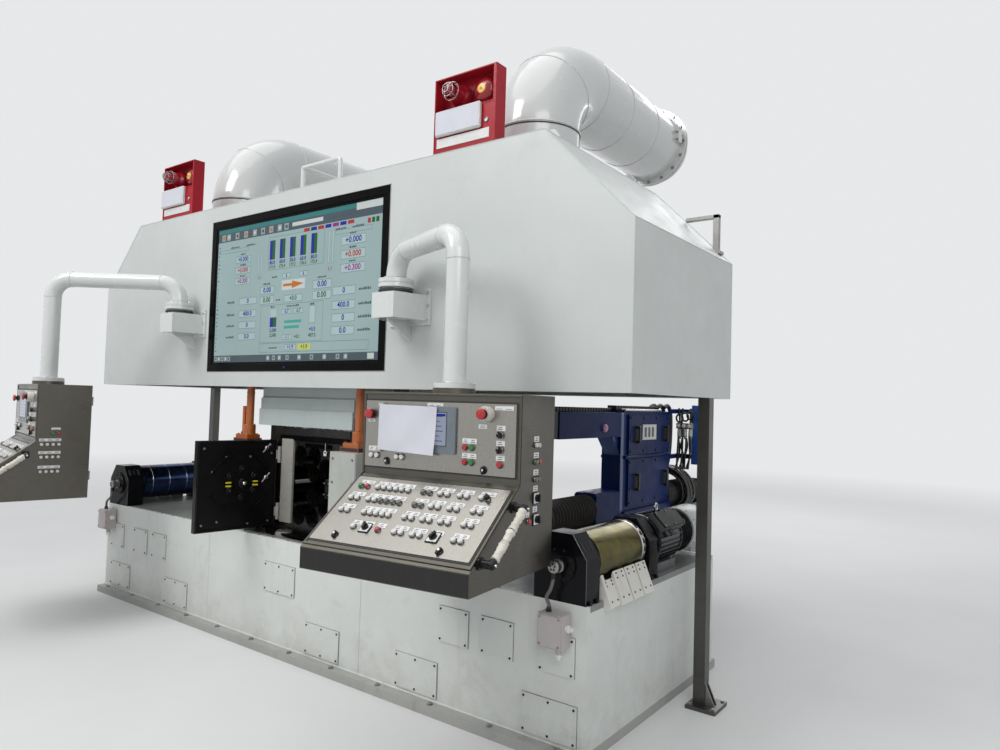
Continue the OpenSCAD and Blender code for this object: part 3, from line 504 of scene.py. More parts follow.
class Piece:
    """Gathers shapes of several materials into one mesh."""

    def __init__(self, name, at=None):
        self.name, self.at = name, at or Matrix.Identity(4)
        self.v, self.f, self.fm, self.mats = [], [], [], []

    def add(self, verts, faces, mat, m=None):
        m = self.at @ m if m is not None else self.at
        if mat not in self.mats:
            self.mats.append(mat)
        base = len(self.v)
        self.v += [tuple(m @ Vector(p)) for p in verts]
        self.f += [tuple(base + i for i in f) for f in faces]
        self.fm += [self.mats.index(mat)] * len(faces)

    def box(self, p, q, mat, m=None, c=0.0015):
        """Box between two corners, with small chamfers."""
        lo, hi = [min(a, b) for a, b in zip(p, q)], [max(a, b) for a, b in zip(p, q)]
        c = min([c] + [(b - a) * 0.3 for a, b in zip(lo, hi)])
        verts, index, faces = [], {}, []
        for s in CORNERS:
            for a in range(3):
                index[s, a] = len(verts)
                inset = [0 if i == a else (-c if s[i] else c) for i in range(3)]
                verts.append([(hi if s[i] else lo)[i] + inset[i] for i in range(3)])

        def corner(a, s, b, u, d, w):
            k = [0, 0, 0]
            k[a], k[b], k[d] = s, u, w
            return tuple(k)

        for a in range(3):
            b, d = (a + 1) % 3, (a + 2) % 3
            for s in (0, 1):
                face = [index[corner(a, s, b, u, d, w), a] for u, w in ((0, 0), (1, 0), (1, 1), (0, 1))]
                faces.append(face if s else face[::-1])
            for u, w in product((0, 1), repeat=2):
                k0, k1 = corner(a, 0, b, u, d, w), corner(a, 1, b, u, d, w)
                edge = [index[k0, b], index[k1, b], index[k1, d], index[k0, d]]
                faces.append(edge if u != w else edge[::-1])
        for s in CORNERS:
            tip = [index[s, a] for a in range(3)]
            faces.append(tip if sum(s) % 2 else tip[::-1])
        self.add(verts, faces, mat, m)

    def lathe(self, prof, mat, m=None, n=28):
        """Turned shape about +Z from (radius, height) points."""
        verts, faces, rings = [], [], []
        for r, z in prof:
            count = 1 if r < 1e-6 else n
            rings.append(range(len(verts), len(verts) + count))
            turn = [2 * math.pi * i / n for i in range(count)]
            verts += [(0, 0, z)] if count == 1 else [(r * math.cos(t), r * math.sin(t), z) for t in turn]
        for a, b in zip(rings, rings[1:]):
            for i in range(n):
                j = (i + 1) % n
                if len(a) == 1 and len(b) > 1:
                    faces.append((a[0], b[j], b[i]))
                elif len(b) == 1 and len(a) > 1:
                    faces.append((a[i], a[j], b[0]))
                elif len(a) > 1:
                    faces.append((a[i], a[j], b[j], b[i]))
        self.add(verts, faces, mat, m)

    def disc(self, at, direction, prof, mat, n=28):
        self.lathe(prof, mat, placed(at, direction), n)

    def rod(self, p, q, r, mat, n=20, c=0.0015, r2=None):
        p, q = Vector(p), Vector(q)
        h, r2 = (q - p).length, r2 or r
        c = min(c, r * 0.4, h * 0.4)
        self.disc(p, q - p, [(0, 0), (r - c, 0), (r, c), (r2, h - c), (r2 - c, h), (0, h)], mat, n)

    def torus(self, at, direction, ring, r, mat, n=40, k=10):
        turn = [2 * math.pi * i / k for i in range(k + 1)]
        self.disc(at, direction, [(ring + r * math.cos(t), r * math.sin(t)) for t in turn], mat, n)

    def bolt(self, at, direction, r, mat, washer=True):
        """Hexagon head, mostly on a washer."""
        m, h, z = placed(at, direction), r * 0.7, r * 0.12 if washer else 0
        if washer:
            self.lathe([(0, 0), (r * 1.25, 0), (r * 1.25, z), (0, z)], mat, m, 18)
        self.lathe([(r, z), (r, z + h * 0.85), (r * 0.86, z + h), (0, z + h)], mat, m, 6)

    def bolts(self, points, *rest, **more):
        for at in points:
            self.bolt(at, *rest, **more)

    def cap(self, at, direction, r, mat, h=None):
        """Socket cap screw."""
        h = h or r * 0.8
        prof = [(r, 0), (r, h * 0.85), (r * 0.85, h), (r * 0.5, h), (r * 0.45, h * 0.4), (0, h * 0.4)]
        self.disc(at, direction, prof, mat, 16)

    def caps(self, points, *rest):
        for at in points:
            self.cap(at, *rest)

    def gland(self, at, direction, nut, neck, bevel, mat, n=20):
        """Union nut and neck, each given as (radius, top)."""
        (r, z), (r2, z2) = nut, neck
        self.disc(at, direction, [(0, 0), (r, 0), (r, z), (r2, z + bevel), (r2, z2), (0, z2)], mat, n)

    def tube(self, pts, r, mat, n=12):
        """Round tube swept along points, with one radius or one for each point."""
        pts = [Vector(p) for p in pts]
        radii = r if isinstance(r, list) else [r] * len(pts)
        up, verts, faces, last = None, [], [], len(pts) - 1
        for i, p in enumerate(pts):
            t = (pts[min(i + 1, last)] - pts[max(i - 1, 0)]).normalized()
            if up is None:
                up = t.orthogonal().normalized()
            up = (up - t * up.dot(t)).normalized()
            side = t.cross(up)
            for a in [2 * math.pi * k / n for k in range(n)]:
                verts.append(tuple(p + (up * math.cos(a) + side * math.sin(a)) * radii[i]))
        for i, k in product(range(last), range(n)):
            a, b = i * n + k, i * n + (k + 1) % n
            faces.append((a, b, b + n, a + n))
        faces += [tuple(range(n - 1, -1, -1)), tuple(last * n + k for k in range(n))]
        self.add(verts, faces, mat)

    def prism(self, poly, h, mat, m=None):
        """Outline in XY, raised along +Z."""
        k = len(poly)
        verts = [(x, y, 0) for x, y in poly] + [(x, y, h) for x, y in poly]
        faces = [tuple(range(k - 1, -1, -1)), tuple(range(k, 2 * k))]
        faces += [(i, (i + 1) % k, k + (i + 1) % k, k + i) for i in range(k)]
        self.add(verts, faces, mat, m)

    def done(self, body=ROOT, slot=None, sharp=35):
        mesh = bpy.data.meshes.new(self.name)
        mesh.from_pydata(self.v, [], self.f)
        for m in self.mats:
            mesh.materials.append(M[m])
        mesh.polygons.foreach_set("material_index", self.fm)
        bm = bmesh.new()
        bm.from_mesh(mesh)
        bmesh.ops.recalc_face_normals(bm, faces=bm.faces)
        for f in bm.faces:
            f.smooth = True
        bm.to_mesh(mesh)
        bm.free()
        mesh.set_sharp_from_angle(angle=math.radians(sharp))
        obj = bpy.data.objects.new(self.name, mesh)
        bpy.context.collection.objects.link(obj)
        if body:
            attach(obj, body)
        return obj


# Cables from the bearing blocks to the junction boxes
def connector(word, x, box_x):
    p = Piece("connector_" + word)
    z, low, entry = 0.865, 0.66, box_x - 0.03
    shell = [(0, 0), (0.032, 0), (0.032, 0.012), (0.026, 0.014), (0.026, 0.034), (0.029, 0.036),
             (0.029, 0.05), (0.02, 0.056), (0, 0.056)]
    p.disc((x, FRONT - 0.008, z), OUT, shell, "dull", 24)
    p.torus((x, FRONT - 0.057, z), BACK, 0.025, 0.003, "chrome", 28, 6)
    p.caps(on_circle((x, FRONT - 0.064, z), "y", 5, 0.013, 18), OUT, 0.005, "hole", 0.0015)
    p.caps(on_circle((x, FRONT - 0.019, z), "y", 4, 0.024, 45), OUT, 0.0035, "dull")
    p.rod((x, FRONT - 0.046, z - 0.01), (x, FRONT - 0.05, z - 0.055), 0.013, "plastic", 16, r2=0.011)
    p.gland((entry, FRONT - 0.045, low), UP, (0.015, 0.008), (0.012, 0.022), 0.002, "cable", 6)
    run = [(x, FRONT - 0.05, z - 0.05), (x - 0.012, FRONT - 0.054, z - 0.10),
           ((x + entry) / 2 - 0.02, FRONT - 0.055, z - 0.14), (entry, FRONT - 0.045, low + 0.03),
           (entry, FRONT - 0.045, low + 0.012)]
    p.tube(curve_pts(run), 0.0085, "conduit")
    p.done()


connector("right", ROLL_X, 2.075)
connector("left", -ROLL_X, -2.14)


def text_faces(text, size):
    """Outline of plain figures, as flat faces about their middle."""
    curve = bpy.data.curves.new("figures", "FONT")
    curve.body, curve.size, curve.offset, curve.resolution_u = text, size, size * 0.022, 2
    curve.align_x = curve.align_y = "CENTER"
    obj = bpy.data.objects.new("figures", curve)
    bpy.context.collection.objects.link(obj)
    mesh = obj.evaluated_get(bpy.context.evaluated_depsgraph_get()).to_mesh()
    verts = [tuple(v.co) for v in mesh.vertices]
    faces = [tuple(f.vertices) for f in mesh.polygons]
    bpy.data.objects.remove(obj)
    bpy.data.curves.remove(curve)
    return verts, faces


class Picture(Piece):
    """The screen's picture: flat patches in layers, a little ahead of the panel."""

    def outline(self, points, mat, layer):
        y = FRONT + 0.008 - 0.0004 * layer
        self.add([(x, y, z) for x, z in points], [tuple(range(len(points)))], mat)

    def patch(self, x0, x1, z0, z1, mat, layer=3):
        self.outline([(x0, z0), (x1, z0), (x1, z1), (x0, z1)], mat, layer)

    def figures(self, text, x, z, size, mat):
        verts, faces = text_faces(text, size)
        y = FRONT + 0.008 - 0.0004 * 4
        self.add([(x + a, y, z + b) for a, b, _ in verts], faces, mat)

    def border(self, x0, x1, z0, z1, w=0.003, layer=2):
        for rim in ((x0, x1, z1 - w, z1), (x0, x1, z0, z0 + w), (x0, x0 + w, z0 + w, z1 - w),
                    (x1 - w, x1, z0 + w, z1 - w)):
            self.patch(*rim, "s_line", layer)

    def value(self, x0, x1, z0, z1, text, mat="s_blue"):
        self.patch(x0, x1, z0, z1, "s_box", 2)
        self.border(x0, x1, z0, z1, layer=3)
        self.figures(text, (x0 + x1) / 2, (z0 + z1) / 2, (z1 - z0) * 0.92, mat)

    def words(self, x, z, w, h=0.012):
        """A row of short strokes where the real panel has a caption."""
        a = x - w / 2
        while a < x + w / 2 - 0.006:
            b = a + rng.choice((0.008, 0.011, 0.014))
            self.patch(a, min(b, x + w / 2), z - h / 2, z + h / 2 * rng.choice((0.5, 1.0)), "s_text")
            a = b + 0.004


def picture_bars(p):
    """Back, title and tool bars, and the row of small lights."""
    p.patch(-0.8245, 0.8245, 1.8255, 2.7575, "s_back", 1)
    p.patch(-0.824, 0.824, 2.728, 2.757, "s_title", 2)
    p.patch(-0.824, 0.824, 2.668, 2.728, "s_bar", 2)
    p.patch(-0.824, 0.824, 1.826, 1.872, "s_bar", 2)
    p.patch(0.60, 0.824, 2.714, 2.757, "s_white")
    p.patch(0.735, 0.79, 1.832, 1.866, "s_white")
    for i, x in enumerate([-0.76, -0.70, -0.60, -0.50, -0.40, -0.31, -0.22, -0.13, -0.06]):
        p.patch(x - 0.022, x + 0.022, 2.676, 2.72, "s_icon")
        p.patch(x - 0.010, x + 0.012, 2.688, 2.708, ("s_orange", "s_white", "s_text")[i % 3], 4)
    p.patch(0.0, 0.30, 2.690, 2.715, "s_white")
    p.words(0.46, 2.70, 0.20)
    for i, key in enumerate("s_red s_blue s_red s_blue s_mag s_blue s_red".split()):
        p.patch(0.12 + i * 0.068, 0.175 + i * 0.068, 2.640, 2.662, key)
    for i, key in enumerate("s_red s_green s_green".split()):
        p.patch(0.70 + i * 0.035, 0.725 + i * 0.035, 2.625, 2.655, key)
    for x in (-0.62, -0.44, 0.47, 0.62):
        p.words(x, 2.62, 0.10)


def picture_columns(p):
    """Five roll columns in a frame, with slim gauges at both sides."""
    p.border(-0.80, -0.46, 2.585, 2.61)
    p.border(0.42, 0.74, 2.585, 2.615)
    p.border(-0.24, 0.32, 2.425, 2.645)
    columns = (("80.0", "171.9"), ("60.0", "175.4"), ("50.0", "177.2"), ("60.0", "176.3"), ("80.0", "172.4"))
    for i, (blue, green) in enumerate(columns):
        x = -0.195 + 0.105 * i
        p.patch(x - 0.030, x, 2.495, 2.622, "s_blue")
        p.patch(x, x + 0.026, 2.495, 2.622, "s_green")
        p.figures(blue, x, 2.474, 0.034, "s_blue")
        p.figures(green, x, 2.444, 0.030, "s_green")
    for x, z0, z1 in ((-0.345, 2.41, 2.56), (-0.315, 2.41, 2.56), (0.365, 2.42, 2.62), (0.40, 2.42, 2.62)):
        p.patch(x - 0.009, x + 0.009, z0, z1, "s_box", 2)
        p.border(x - 0.009, x + 0.009, z0, z1, 0.002, 3)
    p.figures("1.1", -0.33, 2.385, 0.03, "s_mag")
    p.figures("1.1", 0.38, 2.385, 0.034, "s_mag")


def picture_values(p):
    """Boxed values at both sides, and the arrow in the middle."""
    readings = (("+0.000", "s_blue"), ("+0.000", "s_red"), ("+0.300", "s_mag"))
    for x0, x1, h, mid, heights in ((0.475, 0.69, 0.055, 0.58, (2.515, 2.43, 2.348)),
                                    (-0.605, -0.435, 0.046, -0.52, (2.505, 2.43, 2.355))):
        for z, (text, key) in zip(heights, readings):
            p.value(x0, x1, z, z + h, text, key)
            p.words(mid, z + h + 0.014, 0.06)
    p.words(-0.16, 2.378, 0.06)
    p.value(-0.08, 0.0, 2.362, 2.394, "6")
    p.value(0.09, 0.17, 2.362, 2.394, "6")
    p.value(-0.312, -0.165, 2.27, 2.322, "0.00")
    p.value(-0.312, -0.165, 2.205, 2.257, "0.00", "s_green")
    p.value(0.225, 0.40, 2.27, 2.325, "0.00")
    p.value(0.225, 0.40, 2.203, 2.258, "0.00", "s_green")
    p.words(-0.24, 2.338, 0.08)
    p.words(0.31, 2.342, 0.08)
    p.patch(-0.085, 0.148, 2.285, 2.348, "s_white", 2)
    tail, neck, tip, mid, half, barb = -0.07, 0.02, 0.135, 2.3165, 0.0085, 0.0245
    p.outline([(tail, mid - half), (neck, mid - half), (neck, mid - barb), (tip, mid), (neck, mid + barb),
               (neck, mid + half), (tail, mid + half)], "s_orange", 4)
    p.value(-0.055, 0.125, 2.205, 2.25, "+0.0", "s_green")
    p.words(-0.115, 2.226, 0.05)
    for z, text in ((2.218, "0"), (2.132, "400.0"), (2.055, "0"), (1.978, "0.0")):
        p.value(0.412, 0.615, z, z + 0.052, text)
        p.words(0.70, z + 0.026, 0.11, 0.016)
        p.value(-0.545, -0.35, z - 0.004, z + 0.044, text)
        p.words(-0.64, z + 0.02, 0.09, 0.014)


def picture_strip(p):
    """Strip diagram in the lower frame."""
    p.border(-0.30, 0.33, 1.948, 2.195)
    p.border(-0.30, 0.74, 1.885, 1.944)
    p.patch(-0.195, -0.16, 2.05, 2.112, "s_blue")
    p.patch(-0.16, -0.127, 2.05, 2.112, "s_green")
    p.patch(-0.19, -0.13, 2.118, 2.165, "s_box")
    p.words(-0.17, 2.182, 0.04)
    p.figures("2.500", -0.16, 2.028, 0.032, "s_blue")
    p.figures("2.500", -0.16, 1.996, 0.032, "s_green")
    p.value(-0.075, 0.02, 2.128, 2.162, "-0.7")
    p.value(0.045, 0.14, 2.128, 2.162, "-0.7", "s_green")
    p.words(0.04, 2.180, 0.13)
    p.patch(-0.045, 0.125, 2.07, 2.088, "s_cyan")
    p.patch(-0.045, 0.105, 2.035, 2.053, "s_cyan")
    p.value(-0.06, 0.035, 1.965, 1.997, "-1.1")
    p.figures("+0.1", 0.09, 1.981, 0.032, "s_green")
    p.patch(0.20, 0.26, 2.06, 2.17, "s_box")
    p.border(0.20, 0.26, 2.06, 2.17, layer=4)
    p.figures("+0.3", 0.235, 2.022, 0.034, "s_blue")
    p.figures("407.5", 0.235, 1.985, 0.032, "s_green")
    p.words(0.23, 2.18, 0.05)
    p.words(-0.15, 1.915, 0.09)
    p.value(-0.03, 0.08, 1.896, 1.934, "+1.9")
    p.patch(0.10, 0.225, 1.896, 1.934, "s_yellow")
    p.figures("+1.9", 0.162, 1.915, 0.036, "s_green")


def picture_edges(p):
    """Icons along the lower bar, and the scale along the left edge."""
    icons = [-0.80, -0.76, -0.72, -0.68, -0.64, -0.20, -0.14, -0.08, 0.0, 0.12, 0.24, 0.36, 0.48, 0.55]
    for i, x in enumerate(icons):
        p.patch(x - 0.016, x + 0.016, 1.834, 1.864, "s_icon")
        p.patch(x - 0.007, x + 0.007, 1.842, 1.856, "s_white" if i % 2 else "s_text", 4)
    for i in range(26):
        z = 1.90 + i * 0.029
        p.patch(-0.812, -0.806 + rng.random() * 0.012, z, z + 0.008, "s_text")


p = Picture("screen_picture")
for part in (picture_bars, picture_columns, picture_values, picture_strip, picture_edges):
    part(p)
p.done(slot="screen_glass")


def display_trim():
    """Black bezel in four strips, thin metal rims and one small lamp."""
    p = Piece("display_trim")
    w, z0, z1, gap, side = 0.89, 1.76, 2.823, 0.004, 0.050
    low, high = z0 + 0.052, z1 - 0.05
    for x0, x1, za, zb in ((gap - w, w - gap, z0 + gap, low), (gap - w, w - gap, high, z1 - gap),
                           (gap - w, side - w, low, high), (w - side, w - gap, low, high)):
        p.box((x0, FRONT - 0.001, za), (x1, FRONT + 0.0035, zb), "bezel", c=0.002)
    rear, front = FRONT + 0.004, FRONT - 0.003
    for s in SIDES:
        x = s * w - 0.0015 * s
        p.box((x - 0.0015, front, z0), (x + 0.0015, rear, z1), "dull", c=0.0005)
    for z in (z0 - 0.001, z1 - 0.002):
        p.box((-w, front, z), (w, rear, z + 0.003), "dull", c=0.0005)
    p.disc((-0.02, FRONT - 0.001, z0 + 0.026), OUT, [(0.007, 0), (0.006, 0.0016), (0, 0.002)], "s_blue", 14)
    p.done()


display_trim()

# Desks: everything is placed in the desk's own frame
SWING = {1: (-20, 0.66, 7), -1: (-140, 0.875, -12)}    # the arm's direction, its reach, the desk's turn


def arm_frame(side):
    return shift(side * ARM_X, FRONT - ARM_OUT, 0) @ turned(SWING[side][0], "Z")


def desk_frame(side):
    direction, reach, turn = SWING[side]
    a = math.radians(direction)
    x, y = side * ARM_X + reach * math.cos(a), FRONT - ARM_OUT + reach * math.sin(a)
    return shift(x, y, 0) @ turned(turn, "Z")


DESK_X = 0.418                     # half the desk's width
# slope frame: x along the desk, y up the slope, z out of it; the origin is at the step
TILT = shift(0, -0.12, 1.262) @ Matrix.Rotation(math.atan2(0.277, 0.37), 4, "X")
# face frame: x along the desk, y up, z towards the operator
FACE = shift(0, -0.12, 0) @ UPRIGHT
# flank frame: x along the desk's depth, y up, z out of the right flank
FLANK = shift(DESK_X, 0, 0) @ axes(BACK, UP, RIGHT)


def button(p, m, x, y, key, r=0.0125):
    t = m @ shift(x, y, 0)
    p.lathe([(r * 1.18, 0), (r * 1.18, 0.004), (r * 1.05, 0.006), (r, 0.006)], "rim", t, 20)
    p.lathe([(r * 0.93, 0.004), (r * 0.93, 0.010), (r * 0.82, 0.013), (0, 0.0135)], key, t, 20)


def knob(p, m, x, y, turn=25):
    t, r = m @ shift(x, y, 0), 0.013
    p.lathe([(r * 1.2, 0), (r * 1.2, 0.005), (r * 1.05, 0.007), (0, 0.007)], "rim", t, 20)
    p.lathe([(r, 0.007), (r * 0.92, 0.018), (r * 0.8, 0.020), (0, 0.020)], "plastic", t, 16)
    t = t @ turned(turn, "Z")
    p.box((-r * 0.28, -r * 1.15, 0.010), (r * 0.28, r * 1.15, 0.024), "plastic", t, 0.001)
    p.box((-0.0009, r * 0.35, 0.024), (0.0009, r * 1.1, 0.0246), "label", t, 0.0001)


def rotary(p, m, x, y, s, turn):
    """Cam switch on a square plate."""
    t = m @ shift(x, y, 0)
    p.box((-s / 2, -s / 2, 0), (s / 2, s / 2, 0.004), "plastic", t, 0.001)
    p.box((-s * 0.42, -s * 0.42, 0.004), (s * 0.42, s * 0.42, 0.0052), "label", t, 0.0003)
    p.lathe([(s * 0.30, 0.005), (s * 0.28, 0.014), (0, 0.014)], "plastic", t, 20)
    p.box((-s * 0.10, -s * 0.30, 0.012), (s * 0.10, s * 0.34, 0.025), "plastic", t @ turned(turn, "Z"), 0.002)


def label(p, m, x, y, w=0.07, h=0.022, marks=2):
    t = m @ shift(x, y, 0)
    p.box((-w / 2, -h / 2, 0), (w / 2, h / 2, 0.0016), "label", t, 0.0004)
    k = max(1, int(w / 0.034))
    for i, j in product(range(k), range(marks)):
        cx, cy = (i - (k - 1) / 2) * w / k, h * (0.16 if j else -0.20)
        a = w / k * (0.26 if j else 0.34)
        end = cx + a * rng.uniform(0.5, 1.0)
        p.box((cx - a, cy - h * 0.07, 0.0016), (end, cy + h * 0.07, 0.0019), "ink", t, 0.0001)


def latch(p, m, x, y):
    t = m @ shift(x, y, 0) @ turned(rng.uniform(-20, 20), "Z")
    rose = [(0.017, 0), (0.017, 0.003), (0.0145, 0.006), (0.012, 0.0065), (0.012, 0.005), (0, 0.005)]
    p.lathe(rose, "plastic", t, 24)
    p.box((-0.0065, -0.019, 0.005), (0.0065, 0.015, 0.0135), "plastic", t, 0.003)
    p.lathe([(0.0055, 0.0135), (0.005, 0.0148), (0, 0.0148)], "chrome", t, 16)


def stop_button(p, m, x, y, stand=0.0):
    t = m @ shift(x, y, 0)
    if stand:
        p.lathe([(0.034, 0), (0.034, stand * 0.8), (0.030, stand), (0, stand)], "bossp", t)
        t = t @ shift(0, 0, stand)
    p.lathe([(0.021, 0), (0.021, 0.005), (0.014, 0.007), (0.013, 0.016)], "plastic", t, 24)
    head = [(0.013, 0.014), (0.021, 0.016), (0.0235, 0.021), (0.021, 0.028), (0.012, 0.031), (0, 0.0315)]
    p.lathe(head, "red", t)


def desk_panels(p):
    """Door on the cabinet and lid on the slope in a lighter copy of the stainless as painted light, the skirt
    in a darker copy as painted shade, folded edges, hinges and vents.
    """
    edge, rim = 0.4165, 0.009
    door, lid = FACE @ shift(-0.005, 1.444, 0), TILT @ shift(-0.005, -0.234, 0)
    for h, thick, m in ((0.302, 0.0045, door), (0.394, 0.0048, lid)):
        p.prism(rounded(0.812, h + 0.016, 0.006), 0.0022, "gasket", m)
        p.prism(rounded(0.796, h, 0.005), thick, "desk_lit", m)
    p.box((-edge, -0.5035, 0.887), (edge, -0.5018, 0.972), "skirt")
    for x in (-edge, edge - rim):
        p.box((x, -0.462, 0.0), (x + rim, 0.0, 0.005), "desk", TILT)
        p.box((x, 1.268, 0.0), (x + rim, 1.634, 0.005), "desk", FACE)
    p.box((-edge, -0.462, 0.0), (edge, -0.450, 0.0055), "desk", TILT)
    p.box((-edge, 1.624, 0.0), (edge, 1.634, 0.0055), "desk", FACE)
    p.box((-edge, -0.120, 1.634), (edge, 0.188, 1.6365), "desk", c=0.001)
    for z in (1.0, 1.5):
        p.rod((0.39, 0.196, z), (0.39, 0.196, z + 0.06), 0.008, "dull", 12)
    p.prism(rounded(0.70, 0.62, 0.01), 0.003, "desk_lit", shift(0, 0.19, 1.27) @ turned(-90, "X"))
    for i in range(9):
        z = 1.45 + i * 0.014
        p.box((-0.12, 0.193, z), (0.12, 0.1945, z + 0.005), "gasket", c=0.0005)


def run_of(start, step, n):
    return [round(start + step * i, 3) for i in range(n)]


# Rows down the slope: buttons by colour, then label plates as (place, width)
BUTTON_ROWS = {
    0.100: ({"green": [-.351], "red": [-.316], "greyb": [-.007, .026],
             "white": [*run_of(-.255, .0333, 6), .081, .116, .180, .213, .284]},
            [(-.333, .075), (-.172, .20), (.010, .07), (.099, .07), (.197, .07), (.300, .07)]),
    0.178: ({"white": [-.353, -.319, -.255, -.222, .079, .113, .171, .205, .283, .316],
             "greyb": [*run_of(-.188, .0333, 4), -.006, .027]},
            [(-.336, .075), (-.172, .20), (.011, .07), (.096, .07), (.188, .07), (.300, .07)]),
    0.255: ({"white": [-.353, -.319, *run_of(-.226, .0327, 5), -.010, .025, .081, .114, .170, .205,
                       .280, .313]},
            [(-.336, .075), (-.160, .17), (.008, .07), (.098, .07), (.188, .07), (.297, .07)]),
    0.340: ({"white": [-.224, -.009, .024, .082, .116, .278, .311], "red": [-.094]},
            [(-.224, .045), (-.160, .05), (-.094, .045), (.008, .07), (.099, .07), (.183, .06), (.295, .07)]),
}


def slope_controls(p):
    m = TILT @ shift(0, 0, 0.0048)
    for s, (colours, plates) in BUTTON_ROWS.items():
        for key, places in colours.items():
            for x in places:
                button(p, m, x, -s, key)
        for x, w in plates:
            label(p, m, x + 0.006, -s + 0.0275, w, 0.024)
    knob(p, m, 0.312, -0.100)
    rotary(p, m, -0.160, -0.338, 0.052, 20)
    rotary(p, m, 0.183, -0.338, 0.056, -15)
    latch(p, m, 0.247, -0.402)
    latch(p, m, -0.284, -0.396)


def door_controls(p):
    m = FACE @ shift(0, 0, 0.0045)
    stop_button(p, m, -0.371, 1.534)
    label(p, m, -0.368, 1.503, 0.04, 0.014)
    stop_button(p, m, 0.254, 1.551, 0.035)
    label(p, m, 0.233, 1.498, 0.042, 0.018)
    label(p, m, -0.014, 1.584, 0.085, 0.014, 1)
    label(p, m, 0.335, 1.578, 0.09, 0.017, 1)
    for y in (1.406, 1.343):
        button(p, m, 0.148, y, "red", 0.013)
        button(p, m, 0.182, y, "green", 0.013)
        label(p, m, 0.169, y + 0.027, 0.072)
    label(p, m, 0.322, 1.494, 0.042)
    knob(p, m, 0.319, 1.466)
    label(p, m, 0.322, 1.431, 0.042)
    knob(p, m, 0.319, 1.403, turn=0)
    label(p, m, 0.322, 1.369, 0.042)
    button(p, m, 0.321, 1.342, "red", 0.014)
    latch(p, m, -0.273, 1.322)
    latch(p, m, 0.243, 1.315)
    for x in (-0.345, -0.200):
        label(p, m, x, 1.374)
    for x in (-0.362, -0.329, -0.215, -0.186):
        button(p, m, x, 1.344, "white")


def touch_panel(p):
    m = FACE @ shift(0, 0, 0.0045)
    glass = m @ shift(-0.062, 1.478, 0)
    p.prism(rounded(0.31, 0.205, 0.008), 0.010, "greyhmi", m @ shift(-0.055, 1.473, 0))
    p.prism(rounded(0.235, 0.150, 0.003), 0.0106, "gasket", glass)
    p.prism(rounded(0.228, 0.143, 0.003), 0.0110, "s_pale", glass)
    for j in range(6):
        y = 1.424 + 0.0215 * j
        for x0, x1 in ((-0.166, -0.118), (-0.108, -0.075), (-0.064, -0.022), (-0.012, 0.040)):
            end = x0 + (x1 - x0) * rng.uniform(0.45, 1.0)
            key = ("s_text", "s_bar", "s_mag")[(j + (x0 > -0.07)) % 3 if j % 3 else 1]
            p.box((x0, y, 0.0110), (end, y + 0.004, 0.0112), key, m, 0.0001)
    p.box((-0.172, 1.534, 0.0110), (0.048, 1.545, 0.0112), "s_blue", m, 0.0001)


def left_flank(p):
    label(p, FLANK, -0.012, 1.346, 0.052, 0.014, 1)
    button(p, FLANK, -0.028, 1.316, "green", 0.011)
    button(p, FLANK, 0.004, 1.316, "red", 0.011)
    for z in (1.273, 1.191, 1.097):
        label(p, FLANK, -0.042, z, 0.125, 0.018)
        for i in range(4):
            button(p, FLANK, -0.090 + 0.0325 * i, z - 0.029, "white", 0.0105)


def right_flank(p):
    for z, w in ((1.450, 0.045), (1.381, 0.045), (1.309, 0.045), (1.240, 0.040), (1.152, 0.040)):
        label(p, FLANK, 0.016, z, w, 0.024)
    for y, z, key in ((0.004, 1.425, "white"), (0.030, 1.424, "bossp"), (0.008, 1.352, "green"),
                      (0.038, 1.354, "red"), (0.008, 1.279, "greyb"), (0.034, 1.279, "greyb")):
        button(p, FLANK, y, z, key, 0.011)
    rotary(p, FLANK, 0.020, 1.199, 0.052, 0)
    rotary(p, FLANK, 0.024, 1.108, 0.052, 10)
    label(p, FLANK, -0.050, 1.136, 0.030, marks=1)
    button(p, FLANK, -0.047, 1.108, "red", 0.011)


def grab_bar(side):
    """Bar wound with uneven tape, on black end brackets."""
    word, steps, pinch, inset = WORDS[side], 44, (17, 18), 0.018
    p = Piece("grab_bar_" + word, desk_frame(side))
    top, low = Vector((DESK_X + 0.05, -0.175, 1.18)), Vector((DESK_X + 0.05, -0.425, 1.0))
    d, span = (low - top).normalized(), (low - top).length - 2 * inset
    dice = random.Random(3 + side)
    pts, radii = [], []
    for i in range(steps + 1):
        t = i / steps
        sway = Vector((0.35, 0.6, 1.0)) * (0.0030 * math.sin(7.0 * t + 1.0) + 0.0016 * math.sin(19.0 * t))
        jitter = Vector([dice.uniform(-1, 1) for _ in range(3)]) * 0.0009
        pts.append(top + d * (inset + span * t) + sway + jitter)
        waves = 0.0016 * math.sin(i * 1.7) + 0.0014 * math.sin(i * 0.45)
        radii.append(0.0168 + waves + dice.uniform(-0.0009, 0.0009) - (0.0035 if i in pinch else 0))
    p.tube(pts, radii, "tape", 20)
    gap = top + d * (inset + span * sum(pinch) / 2 / steps)
    p.tube([gap - d * 0.002, gap + d * 0.002], 0.0135, "plastic", 16)
    for q, s in ((top, 1), (low, -1)):
        p.rod(q - d * 0.012 * s, q + d * 0.020 * s, 0.0170, "plastic", 20, 0.003)
        y, z, half = q.y, q.z, 0.014
        p.box((DESK_X + 0.0005, y - half, z - half), (DESK_X + 0.052, y + half, z + half), "plastic", c=0.004)
        p.prism(rounded(0.044, 0.044, 0.008), 0.006, "plastic", FLANK @ shift(q.y, q.z, 0))
        p.cap((DESK_X + 0.066, q.y, q.z), RIGHT, 0.006, "steel")
    o = p.done(word + "_desk", "handle_wrap")
    node = "desk_handle_" + word
    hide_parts(node)


